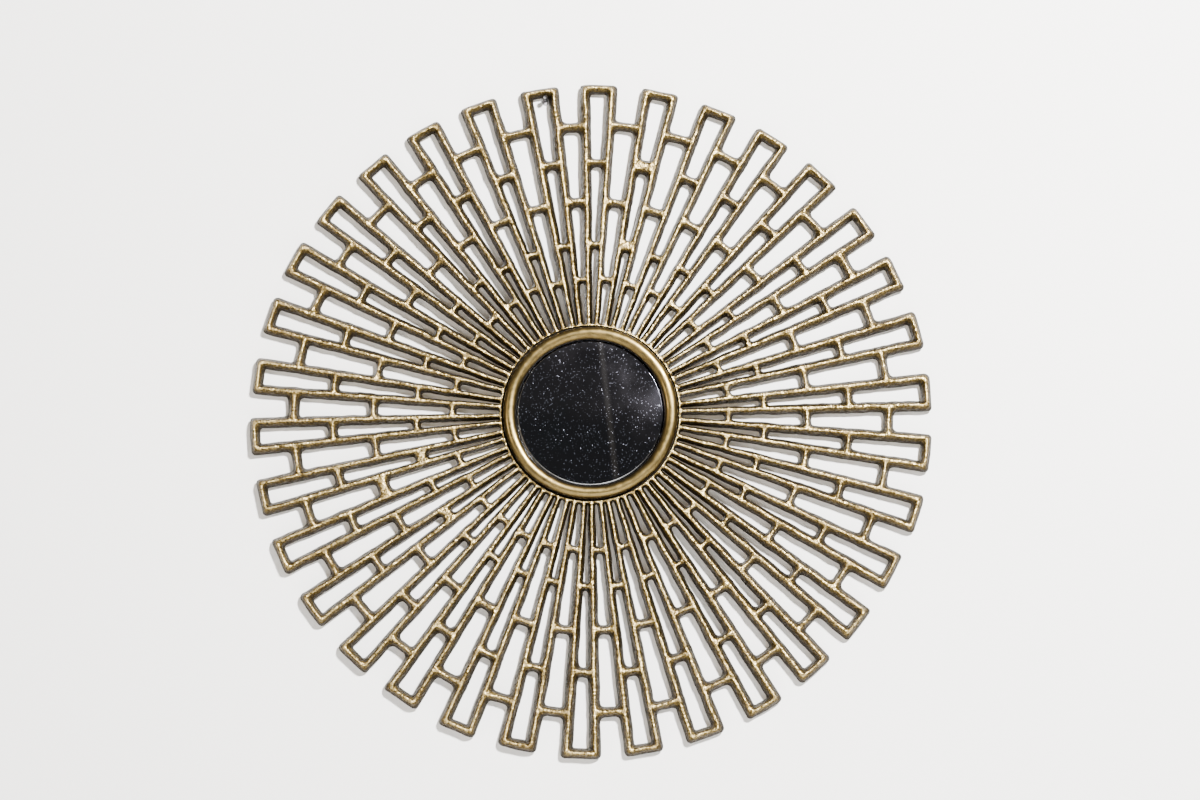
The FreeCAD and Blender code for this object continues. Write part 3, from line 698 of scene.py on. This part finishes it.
def makeSmoothBrass():
    # The bezel's satin finish: gold on the rubbed crown and small nicks, with painted shade: brown down
    # both slopes, near black at their feet
    material, tree = newMaterial("smoothBrass")
    skin = use(tree, sandGrain, {"Lump Scale": 90, "Grain Scale": 900, "Pit Scale": 130})
    rubbed = rubbedIn(tree, 0.35, 120)
    # painted shade: the colour darkens from the crown down both slopes to near black at their feet
    colour = ramp(rubbed, (0.0, (0.008, 0.005, 0.002)), (0.30, (0.032, 0.022, 0.008)),
                  (0.60, (0.085, 0.060, 0.021)), (0.88, (0.19, 0.138, 0.052)), (1.0, (0.28, 0.210, 0.085)))
    streak = between(noise(tree, 160, 4), 0.40, 0.68)
    colour = mix(times(streak, 0.4), colour, (0.66, 0.57, 0.42), "MULTIPLY")
    colour = mix(times(skin["Pits"], 0.5), colour, (0.09, 0.06, 0.03))
    colour = mix(use(tree, settledDust, {"Film": 0.15})["Film"], colour, (0.14, 0.12, 0.09))
    return wire(material, {"Base Color": colour, "Roughness": ramp(streak, (0.0, 0.30), (1.0, 0.42)),
                           "Metallic": 1.0, "Normal": bump(skin["Height"], 0.12, 0.0006)})


finishPiece(makeSunburst(), "frame", "sunburst_frame", makeCastBrass())


bezelInner = 0.066
bezel = {
    "middle": (bezelOuter + bezelInner) / 2,
    "halfWidth": (bezelOuter - bezelInner) / 2,
    "seat": castFront,
    "round": 40,
    "turns": 288,
    "flashFrom": 4.0,            # a cast step on the outer side runs between these, degrees clockwise
    "flashTo": 134.0,
    "flashHeight": 0.0007,
}


def makeBezel():
    # A half circle from the outer to the inner edge, closed by the flat back
    angle = np.linspace(0, np.pi, bezel["round"])
    radius = bezel["middle"] + bezel["halfWidth"] * np.cos(angle)
    depth = bezel["seat"] + (bezelCrest - bezel["seat"]) * np.sin(angle)
    profile = np.stack([radius, depth], -1)

    def waves(turn, r, d):
        # slow waves, a step on the outer slope and a small proud lump where the step starts
        high = (d - bezel["seat"]) / (bezelCrest - bezel["seat"])
        degrees = np.degrees(turn)
        step = 1 / (1 + np.exp(-(degrees - bezel["flashFrom"]) * 2.2))
        step = step / (1 + np.exp((degrees - bezel["flashTo"]) * 1.6))
        lump = np.exp(-((degrees - bezel["flashFrom"] - 2.5) / 2.2) ** 2)
        outer = np.clip((r - bezel["middle"]) / bezel["halfWidth"], 0, 1) ** 2
        shy = bezel["flashHeight"] * (1 - step - 0.4 * lump)
        r = r + 0.00010 * np.sin(5 * turn + 1) + 0.00008 * np.sin(11 * turn + 2) - outer * shy * 0.9
        d = d - high * 0.00018 * (1 + np.sin(3 * turn + 0.7)) - high * outer * shy
        return r, d

    # the mark, 1 on the crown and 0 at both feet, carries the rubbing and the painted shade of the slopes
    points, faces, crest = lathe(profile, bezel["turns"], waves, marks=np.sin(angle))
    return meshPiece("bezelRing", points, faces, {"crest": crest}, 60)


finishPiece(makeBezel(), "frame", "bezel_ring", makeSmoothBrass())
print("bezel made")


glass = {
    "bevelWidth": 0.0052,
    "bevelDrop": 0.0009,
    "arris": 0.00035,            # width of the painted highlight line where the bevel starts
    "turns": 256,
}


def makeGlass():
    # Flat front, a narrow arris, the polished slope, the ground edge and the silvered back
    start = glassRadius - glass["bevelWidth"]
    side = glassFront - glass["bevelDrop"]
    arris = glass["arris"]
    # radius, depth, and the strength of the painted highlight on the edge
    rows = [(start * share, glassFront, 0.0) for share in (0.0, 0.2, 0.45, 0.7, 0.88)]
    rows += [(start - arris, glassFront, 0.0), (start - arris * 0.5, glassFront - 0.00002, 1.0),
             (start + arris * 0.5, glassFront - 0.00012, 1.0), (start + arris, glassFront - 0.00020, 0.3),
             (glassRadius - 0.0008, side + 0.00008, 0.3), (glassRadius - 0.0004, side, 0.8),
             (glassRadius, side - 0.0004, 0.5), (glassRadius, glassBack + 0.0004, 0.0),
             (glassRadius - 0.0004, glassBack, 0.0), (0.0, glassBack, 0.0)]
    profile = np.array(rows)
    points, faces, bevel = lathe(profile[:, :2], glass["turns"], marks=profile[:, 2])
    back = (points[:, 1] > -(glassBack + 0.0005)).astype(float)
    return meshPiece("mirrorGlass", points, faces, {"bevel": bevel, "back": back}, 25)


def makeMirrorDustAndPaintedReflection():
    # Silvered glass with dust specks and fine wiping scratches. Its colour is painted reflection: dark
    # blue-grey for a dark reflected room, a lighter haze towards the top and the upper right, and one light
    # streak
    material, tree = newMaterial("mirrorDustAndPaintedReflection")
    here = objectSpace(tree)
    split = newNode(tree, "ShaderNodeSeparateXYZ", {0: here}).outputs
    # painted reflection: the glass turns lighter towards the upper right and the top, broken up by cloudy
    # haze
    slant = plus(split["X"], split["Z"])
    cloud = noise(tree, 28, 4, here)
    hazeAndReflection = times(between(slant, -0.02, 0.10), between(cloud, 0.30, 0.75))
    upper = between(plus(split["Z"], times(cloud, 0.02)), -0.002, 0.022)
    hazeAndReflection = plus(hazeAndReflection, times(upper, 0.16), True)
    fine = use(tree, settledDust, {"Specks": 0.30, "Speck Scale": 760, "Speck Level": 0.675})["Specks"]
    large = use(tree, settledDust, {"Specks": 0.7, "Speck Scale": 430, "Speck Level": 0.735})["Specks"]
    # scratches: noise squeezed along slanting lines
    slanting = {"Vector": here, "Rotation": (0, 0.7, 0), "Scale": (900, 1, 26)}
    turned = newNode(tree, "ShaderNodeMapping", slanting)
    scratch = between(noise(tree, 1.0, 2, turned.outputs["Vector"]), 0.70, 0.76)
    # painted reflection: one faint light streak, slightly off upright
    line = plus(split["X"], times(split["Z"], 0.11))
    offset = maths("ABSOLUTE", maths("SUBTRACT", line, 0.0165), 0.0)
    streak = times(between(offset, 0.0045, 0.0), 0.32)
    back = readValue(tree, "back")
    # painted highlight: the bevel's edges are light grey, fading out towards the upper right
    bevel = times(readValue(tree, "bevel"), between(slant, 0.055, 0.01))
    # painted reflection: a dark blue-grey base for a dark reflected room, light blue-grey where the painted
    # haze lies
    colour = mix(hazeAndReflection, (0.105, 0.120, 0.158), (0.36, 0.36, 0.45))
    # laid on in turn: the painted reflection of the streak, real scratches and dust specks, the painted
    # highlight on the bevel's edges, the silvered back
    for mask, tone in ((streak, (0.62, 0.61, 0.62)), (times(scratch, 0.25), (0.30, 0.31, 0.34)),
                       (fine, (0.15, 0.16, 0.20)), (large, (0.16, 0.17, 0.215)),
                       (bevel, (0.80, 0.82, 0.84)), (back, (0.10, 0.11, 0.12))):
        colour = mix(mask, colour, tone)
    cover = maths("MAXIMUM", maths("MAXIMUM", fine, large), back)
    rough = plus(plus(times(cover, 0.5), 0.045), times(plus(hazeAndReflection, streak), 0.12))
    return wire(material, {"Base Color": colour, "Roughness": rough,
                           "Metallic": maths("SUBTRACT", 1.0, times(cover, 0.8))})


finishPiece(makeGlass(), "frame", "mirror_glass", makeMirrorDustAndPaintedReflection())
print("glass made")


def makeRubber(name, colour, bloom):
    # Matt rubber, greyer where it has bloomed, with a moulded grain
    material, tree = newMaterial(name)
    patchy = between(noise(tree, 220, 4), 0.35, 0.75)
    return wire(material, {"Base Color": mix(patchy, colour, bloom), "Roughness": 0.7,
                           "Normal": bump(noise(tree, 1800, 3), 0.3, 0.0002)})


def makeFoam():
    # Open cells: dark pores between lighter walls
    material, tree = newMaterial("foamCells")
    cell = newNode(tree, "ShaderNodeTexVoronoi", {"Scale": 1500, "Vector": objectSpace(tree)},
                   feature="DISTANCE_TO_EDGE")
    wall = between(cell.outputs["Distance"], 0.22, 0.04)
    return wire(material, {"Base Color": mix(wall, (0.06, 0.06, 0.065), (0.30, 0.30, 0.31)),
                           "Roughness": 0.95, "Normal": bump(wall, 0.5, 0.0003)})


def makeHardboardFace():
    # Pressed fibre: long dark and light fibres, the screen's fine weave, a few stains
    material, tree = newMaterial("hardboardFace")
    here = objectSpace(tree)
    fibres = []
    for angle, shift in ((0.5, 0.0), (1.9, 3.0), (2.7, 7.0)):
        turned = newNode(tree, "ShaderNodeMapping", {"Vector": here, "Rotation": (0, angle, 0),
                                                     "Scale": (900, 60, 90), "Location": (shift, 0, 0)})
        fibres.append(noise(tree, 1.0, 3, turned.outputs["Vector"]))
    fibre = maths("MAXIMUM", maths("MAXIMUM", fibres[0], fibres[1]), fibres[2])
    colour = ramp(fibre, (0.40, (0.085, 0.045, 0.022)), (0.58, (0.20, 0.115, 0.058)),
                  (0.78, (0.36, 0.235, 0.13)))
    stain = between(noise(tree, 22, 4, here), 0.5, 0.72)
    colour = mix(times(stain, 0.45), colour, (0.45, 0.40, 0.36), "MULTIPLY")
    specks = use(tree, settledDust, {"Specks": 0.3, "Speck Scale": 500})["Specks"]
    colour = mix(specks, colour, (0.42, 0.38, 0.32))
    wave = [newNode(tree, "ShaderNodeTexWave", {"Scale": 160, "Distortion": 0.6, "Vector": here},
                    bands_direction=direction).outputs["Fac"] for direction in ("X", "Z")]
    height = plus(times(wave[0], wave[1]), times(fibre, 0.8))
    return wire(material, {"Base Color": colour, "Roughness": ramp(fibre, (0.3, 0.80), (0.8, 0.55)),
                           "Normal": bump(height, 0.35, 0.0004)})


def makeZinc(name, colour, shade, edge):
    # Plated steel: soft spangle, brush marks, brighter on handled edges, a little white bloom
    material, tree = newMaterial(name)
    here = objectSpace(tree)
    brush = newNode(tree, "ShaderNodeMapping", {"Vector": here, "Scale": (2600, 2600, 120)})
    lines = noise(tree, 1.0, 2, brush.outputs["Vector"])
    rubbed = rubbedIn(tree, 0.6, 900)
    base = mix(between(noise(tree, 420, 2, here), 0.3, 0.7), shade, colour)
    bloom = between(noise(tree, 150, 4, here), 0.62, 0.78)
    base = mix(times(bloom, 0.5), mix(rubbed, base, edge), (0.62, 0.61, 0.58))
    return wire(material, {"Base Color": base, "Metallic": 1.0,
                           "Roughness": plus(plus(times(lines, 0.18), 0.26), times(bloom, 0.2)),
                           "Normal": bump(lines, 0.12, 0.0002)})


def makeNylon():
    # Moulded grey plug, slightly scuffed and waxy
    material, tree = newMaterial("plugNylon")
    cloud = between(noise(tree, 160, 4), 0.3, 0.7)
    return wire(material, {"Base Color": mix(cloud, (0.20, 0.20, 0.215), (0.36, 0.36, 0.38)),
                           "Roughness": 0.45, "Normal": bump(noise(tree, 1400, 3), 0.2, 0.0002)})


gasketRubber = makeRubber("gasketRubber", (0.012, 0.012, 0.012), (0.045, 0.045, 0.047))
for name, material in (("glass_gasket", gasketRubber), ("foam_pad", makeFoam())):
    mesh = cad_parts[name].data
    mesh.materials.clear()
    mesh.materials.append(material)


board = {"edge": 0.0004, "bow": 0.00015, "turns": 128}


def makeBoard():
    # A flat disc with broken edges, its back bowed slightly towards the wall
    r, soft = boardRadius, board["edge"]
    profile = np.array([(0, boardFront), (r * 0.5, boardFront), (r - soft, boardFront),
                        (r, boardFront - soft), (r, recessFloor + soft), (r - soft, recessFloor),
                        (r * 0.75, recessFloor),
                        (r * 0.5, recessFloor), (r * 0.25, recessFloor), (0, recessFloor)])

    def bowed(turn, radius, depth):
        back = depth < recessFloor + 0.0001
        return radius, depth - back * board["bow"] * np.cos(np.pi / 2 * radius / r)

    points, faces, _ = lathe(profile, board["turns"], bowed)
    return meshPiece("hardboardDisc", points, faces, None, 30)


finishPiece(makeBoard(), "frame", "backing_board", makeHardboardFace())


turnButton = {
    "pivotInset": 0.0048,        # start of the openings to the pivot
    "reach": 0.0145,
    "halfWidth": 0.0040,
    "hole": 0.00181,
    "soft": 0.0003,              # rounding of the sheared edges
    "rib": 0.00032,
    "around": 96,
}


def makeTurnButton(number):
    # A stadium plate round its pivot hole: rings go from the hole's rim out over the back face,
    # round the edge, and in over the front face. A pressed rib runs towards the nose.
    low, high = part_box("turn_button_" + str(number))
    angle = math.radians(45 + 90 * (number - 1))
    pivot = cast["hubStart"] - turnButton["pivotInset"]
    w = turnButton["halfWidth"]
    run = turnButton["reach"] - w
    length = 2 * np.pi * w + 2 * run
    s = np.linspace(0, length, turnButton["around"], endpoint=False)
    arc = np.pi * w
    onHead = s < arc
    onLeft = (s >= arc) & (s < arc + run)
    onNose = (s >= arc + run) & (s < 2 * arc + run)
    head = s / w
    nose = (s - arc - run) / w
    x = np.select([onHead, onLeft, onNose], [w * np.cos(head), -w, -w * np.cos(nose)], w)
    y = np.select([onHead, onLeft, onNose], [w * np.sin(head), -(s - arc), -run - w * np.sin(nose)],
                  -run + (s - 2 * arc - run))
    way = np.arctan2(y, x)
    hx = turnButton["hole"] * np.cos(way)
    hy = turnButton["hole"] * np.sin(way)
    back, front = -high[1], -low[1]
    soft = turnButton["soft"]
    # share of the way from the hole to the outline, inset from the outline, depth
    rings = [(0, 0, back + soft), (0.02, 0, back), (0.2, 0, back), (0.45, 0, back), (0.7, 0, back),
             (1, 1.0, back), (1, 0.3, back + 0.3 * soft), (1, 0, back + soft), (1, 0, front - soft),
             (1, 0.3, front - 0.3 * soft), (1, 1.0, front), (0.5, 0, front), (0.02, 0, front),
             (0, 0, front - soft)]
    edgeMark = [1, 0.5, 0, 0, 0, 0.3, 1, 1, 1, 1, 0.3, 0, 0.5, 1]
    distance = np.hypot(x, y)
    points = []
    for share, inset, depth in rings:
        shrink = 1 - inset * soft / distance
        px = (hx + (x - hx) * share) * shrink
        py = (hy + (y - hy) * share) * shrink
        rib = np.exp(-(px / 0.0011) ** 2) * np.clip((-py - 0.0032) / 0.002, 0, 1)
        rib = rib * np.clip((run + 0.001 + py) / 0.002, 0, 1)
        rise = turnButton["rib"] * rib * (depth < back + soft)
        radius = pivot + py
        points.append(np.stack([radius * math.sin(angle) + px * math.cos(angle), -(depth - rise),
                                radius * math.cos(angle) - px * math.sin(angle)], -1))
    grid = np.stack(points, 1).reshape(-1, 3)
    faces = gridFaces(turnButton["around"], len(rings), True, True)
    mark = np.tile(np.array(edgeMark, dtype=float), turnButton["around"])
    return meshPiece("turnButton" + str(number), grid, outward(grid, faces), {"crest": mark}, 40)


zincSheet = makeZinc("zincSheet", (0.58, 0.58, 0.57), (0.40, 0.405, 0.41), (0.72, 0.72, 0.70))
for number in range(1, 5):
    finishPiece(makeTurnButton(number), "turn_button_" + str(number), "turn_button_" + str(number),
                zincSheet)
print("back parts made")


screwShape = {
    "dome": 0.25,                # share of the head's height that is domed
    "crossHalf": 0.00042,        # half width of an arm of the driver recess
    "crossReach": 0.62,          # arm length, share of the head's radius
    "crossDeep": 0.6,            # depth, share of the head's height
    "around": 40,
}


def screwProfile(back, headRadius, headHeight, shankRadius, end):
    # Radii and depths from the middle of the head's face to the shank's end
    dome = headHeight * screwShape["dome"]
    share = np.linspace(0, 1, 12)
    face = [(headRadius * t, back + dome * t ** 2) for t in share]
    under = back + headHeight
    side = [(headRadius, back + dome + 0.0002), (headRadius * 0.99, under), (shankRadius, under),
            (shankRadius, end - 0.0004), (shankRadius - 0.0004, end), (0, end)]
    return np.array(face + side), len(face)


def makeScrews(name, centres, turns, sizes):
    # Domed heads with a cross recess: the recess is a dent in the face along two crossing arms
    headRadius, headHeight = sizes[1:3]
    profile, faceRows = screwProfile(*sizes)
    parts = []
    for centre, twist in zip(centres, turns):
        def dent(turn, radius, depth):
            u = radius * np.sin(turn + twist)
            v = radius * np.cos(turn + twist)
            narrow = np.minimum(abs(u), abs(v))
            arm = 1 / (1 + np.exp((narrow - screwShape["crossHalf"]) / 0.00007))
            reach = 1 / (1 + np.exp((radius - screwShape["crossReach"] * headRadius) / 0.00012))
            onFace = np.arange(radius.shape[1])[None, :] < faceRows
            return radius, depth + onFace * arm * reach * screwShape["crossDeep"] * headHeight

        mark = np.clip(profile[:, 0] / headRadius, 0, 1) ** 4
        parts.append(lathe(profile, screwShape["around"], dent, centre, mark))
    points, faces, marks = joined(parts)
    return meshPiece(name, points, faces, {"crest": marks}, 35)


def ringOf(radius, firstDegrees):
    turn = np.radians(firstDegrees + 90 * np.arange(4))
    return list(zip(radius * np.sin(turn), radius * np.cos(turn)))


zincPlate = makeZinc("zincPlate", (0.62, 0.58, 0.46), (0.42, 0.40, 0.33), (0.75, 0.72, 0.62))
buttonLow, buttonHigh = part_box("turn_button_screws")
pivotRadius = cast["hubStart"] - turnButton["pivotInset"]
buttonHead = buttonHigh[0] - pivotRadius * math.sin(math.radians(45))
buttonScrews = makeScrews("turnButtonScrews", ringOf(pivotRadius, 45), (0.4, 1.3, 2.2, 0.9),
                          (-buttonHigh[1], buttonHead, 0.0015, 0.00172, -buttonLow[1]))
finishPiece(buttonScrews, "frame", "turn_button_screws", zincPlate)
bezelScrewLow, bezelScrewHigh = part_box("bezel_screws")
bezelScrewRadius = (cast["bore"] + bezelOuter) / 2
bezelScrews = makeScrews("bezelScrews", ringOf(bezelScrewRadius, 90), (0.2, 1.7, 0.8, 2.6),
                         (-bezelScrewHigh[1], 0.0028, 0.0016, 0.00148, -bezelScrewLow[1]))
finishPiece(bezelScrews, "frame", "bezel_screws", zincPlate)


bumper = {"radius": 0.0034, "soft": 0.0008, "turns": 40}


def makeBumpers():
    # Rubber discs with rounded edges behind the outer row of cross bars
    thick = castBack
    angle = np.linspace(0, np.pi / 2, 6)
    r, soft = bumper["radius"], bumper["soft"]
    wallSide = [(r - soft + soft * np.sin(a), soft - soft * np.cos(a)) for a in angle]
    profile = np.array([(0, 0)] + wallSide + [(r, thick - 0.0001), (0, thick)])
    pitch = 2 * np.pi / cast["fingers"]
    rowRadius = cast["hubStart"] + (rimRadius - cast["hubStart"]) * cast["rowShares"][4]
    parts = []
    for k in range(4):
        finger = math.floor(cast["fingers"] * (2 * k + 1) / 8)
        turn = math.radians(cast["firstAngle"]) + (finger + cast["fingerShare"] / 2) * pitch
        centre = (rowRadius * math.sin(turn), rowRadius * math.cos(turn))
        parts.append(lathe(profile, bumper["turns"], None, centre))
    points, faces, _ = joined(parts)
    return meshPiece("wallBumpers", points, faces, None, 40)


finishPiece(makeBumpers(), "frame", "wall_bumpers",
            makeRubber("bumperRubber", (0.02, 0.02, 0.021), (0.07, 0.07, 0.072)))


plugLow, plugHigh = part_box("wall_plug")
hangLow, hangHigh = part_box("wall_screw")
fixing = {
    "centre": ((plugLow[0] + plugHigh[0]) / 2, (plugLow[2] + plugHigh[2]) / 2),
    "threadPitch": 0.0015,
    "threadHeight": 0.00045,
    "shank": 0.0017,
    "headHeight": 0.0018,
    "point": 0.0050,
    "collar": 0.0009,
    "hole": 0.00178,
    "ribPitch": 0.0032,
}


def makeWallScrew():
    # Head, plain neck, then a thread that winds down to the point:
    # radius = core + height times a saw tooth of (depth / pitch + turn), drawn in near the point
    front = -hangLow[1]
    tip = -hangHigh[1]
    headRadius = (hangHigh[0] - hangLow[0]) / 2
    under = front - fixing["headHeight"]
    threadTop = -0.0015
    neck = [(0, front - 0.0005), (headRadius * 0.30, front - 0.0005), (headRadius * 0.36, front - 0.00005),
            (headRadius * 0.72, front), (headRadius * 0.93, front - 0.0004), (headRadius, front - 0.0011),
            (headRadius * 0.97, under)] + [(fixing["shank"], depth) for depth in (under, 0.0, threadTop)]
    depths = np.arange(threadTop - 0.0002, tip + 0.0002, -fixing["threadPitch"] / 7)
    core = fixing["shank"] - 0.0001
    taper = np.clip((depths - tip) / fixing["point"], 0.06, 1)
    thread = np.stack([core * taper, depths], -1)
    profile = np.concatenate([np.array(neck), thread, np.array([(0, tip)])])
    threaded = np.zeros(len(profile))
    threaded[len(neck):-1] = taper

    def wind(turn, radius, depth):
        tooth = (depth / fixing["threadPitch"] + turn / (2 * np.pi)) % 1
        ridge = 1 - abs(2 * tooth - 1)
        return radius - fixing["threadHeight"] * threaded * (1 - ridge), depth

    mark = np.clip(profile[:, 1] / front, 0, 1) ** 6
    points, faces, mark = lathe(profile, 32, wind, fixing["centre"], mark)
    return meshPiece("wallScrew", points, faces, {"crest": mark}, 40)


def makeWallPlug():
    # Collar, then a split body with ring ribs and shallow flutes, and the hole down its middle
    bodyRadius = 0.0030
    collarRadius = (plugHigh[0] - plugLow[0]) / 2
    collar = fixing["collar"]
    depths = np.linspace(-0.0004, -plugHigh[1] + 0.0012, 110)
    body = [(bodyRadius, d) for d in depths]
    top = [(fixing["hole"], collar - 0.0001), (collarRadius - 0.0003, collar),
           (collarRadius, collar - 0.0002), (collarRadius, 0.0), (bodyRadius, 0.0)]
    profile = np.array(top + body + [(bodyRadius * 0.8, -plugHigh[1]), (fixing["hole"], -plugHigh[1])])
    ribbed = np.zeros(len(profile))
    ribbed[5:-2] = 1

    def ribs(turn, radius, depth):
        tooth = (depth / fixing["ribPitch"]) % 1
        flute = 0.5 + 0.5 * np.cos(4 * turn)
        return radius - ribbed * (0.00038 * tooth + 0.00025 * flute ** 6), depth

    points, faces, _ = lathe(profile, 64, ribs, fixing["centre"])
    return meshPiece("wallPlug", points, faces, None, 35)


blackSteel = makeZinc("blackSteel", (0.020, 0.020, 0.023), (0.010, 0.010, 0.012), (0.050, 0.050, 0.054))
finishPiece(makeWallScrew(), "frame", "wall_screw", blackSteel)
finishPiece(makeWallPlug(), "frame", "wall_plug", makeNylon())
print("wall fixing made")


view = {
    "below": 9.55,               # degrees under the mirror's axis
    "aside": 1.1,                # degrees to the right of it
    "distance": 2.34,
    "width": 1.0696,             # width of the view at the mirror
    "shiftX": 0.0082,
    "shiftY": 0.0106,
}


def placeCamera():
    data = bpy.data.cameras.new("camera")
    camera = bpy.data.objects.new("camera", data)
    bpy.context.scene.collection.objects.link(camera)
    low = math.radians(view["below"])
    side = math.radians(view["aside"])
    target = Vector((0, -castFront, 0))
    offset = Vector((math.sin(side) * math.cos(low), -math.cos(side) * math.cos(low), -math.sin(low)))
    camera.location = target + offset * view["distance"]
    camera.rotation_euler = (-offset).to_track_quat("-Z", "Y").to_euler()
    data.sensor_width = 36
    data.lens = 36 * view["distance"] / view["width"]
    data.shift_x = view["shiftX"]
    data.shift_y = view["shiftY"]
    data.clip_start = 0.05
    bpy.context.scene.camera = camera


placeCamera()


stage = {
    "wallPlane": 0.0003,
    "floorHeight": -1.4,
    "wallColour": (0.92, 0.92, 0.92),
    "floorColour": (0.74, 0.74, 0.74),
    "lamps": {                   # place, size, power, colour
        "keyLamp": ((1.15, -2.1, 1.20), 0.26, 420, (1, 0.98, 0.95)),
        "fillLamp": ((-1.9, -1.5, 0.1), 0.6, 16, (1, 0.86, 0.68)),
        "backLamp": ((-1.3, 2.3, 1.5), 1.4, 130, (1, 1, 1)),
    },
    "sky": 0.12,
}


def paint(name, colour, rough):
    material, tree = newMaterial(name)
    mottle = between(noise(tree, 3, 2), 0.3, 0.7)
    darker = tuple(0.985 * part for part in colour)
    return wire(material, {"Base Color": mix(mottle, darker, colour), "Roughness": rough})


def clearBehind(material):
    # The wall is clear from behind, so that the mirror's back can be seen
    tree = material.node_tree
    facing = newNode(tree, "ShaderNodeNewGeometry").outputs["Backfacing"]
    clear = newNode(tree, "ShaderNodeBsdfTransparent").outputs[0]
    paintOut = tree.nodes["Principled BSDF"].outputs[0]
    blend = newNode(tree, "ShaderNodeMixShader", {0: facing, 1: paintOut, 2: clear})
    fill(tree.nodes["Material Output"].inputs["Surface"], blend.outputs[0])
    return material


def makeStage():
    y, z = stage["wallPlane"], stage["floorHeight"]
    wallCorners = [(-6, y, z), (6, y, z), (6, y, 4), (-6, y, 4)]
    floorCorners = [(-6, -8, z), (6, -8, z), (6, 8, z), (-6, 8, z)]
    for name, corners, material in (
            ("wall", wallCorners, clearBehind(paint("wallPaint", stage["wallColour"], 0.9))),
            ("floor", floorCorners, paint("floorPaint", stage["floorColour"], 0.8))):
        mesh = bpy.data.meshes.new(name)
        mesh.from_pydata(corners, [], [(0, 1, 2, 3)])
        mesh.materials.append(material)
        item = bpy.data.objects.new(name, mesh)
        bpy.context.scene.collection.objects.link(item)
        item.visible_shadow = False


def addLamp(name, spot, size, power, colour):
    data = bpy.data.lights.new(name, "AREA")
    data.shape = "DISK"
    data.size = size
    data.energy = power
    data.color = colour
    lamp = bpy.data.objects.new(name, data)
    lamp.location = spot
    lamp.rotation_euler = (-Vector(spot)).to_track_quat("-Z", "Y").to_euler()
    bpy.context.scene.collection.objects.link(lamp)


makeStage()
for name, (spot, size, power, colour) in stage["lamps"].items():
    addLamp(name, spot, size, power, colour)
world = bpy.data.worlds.new("world")
bpy.context.scene.world = world
world.use_nodes = True
sky = world.node_tree.nodes["Background"].inputs
sky["Color"].default_value = (1, 0.90, 0.76, 1)
sky["Strength"].default_value = stage["sky"]
print("stage and light placed")
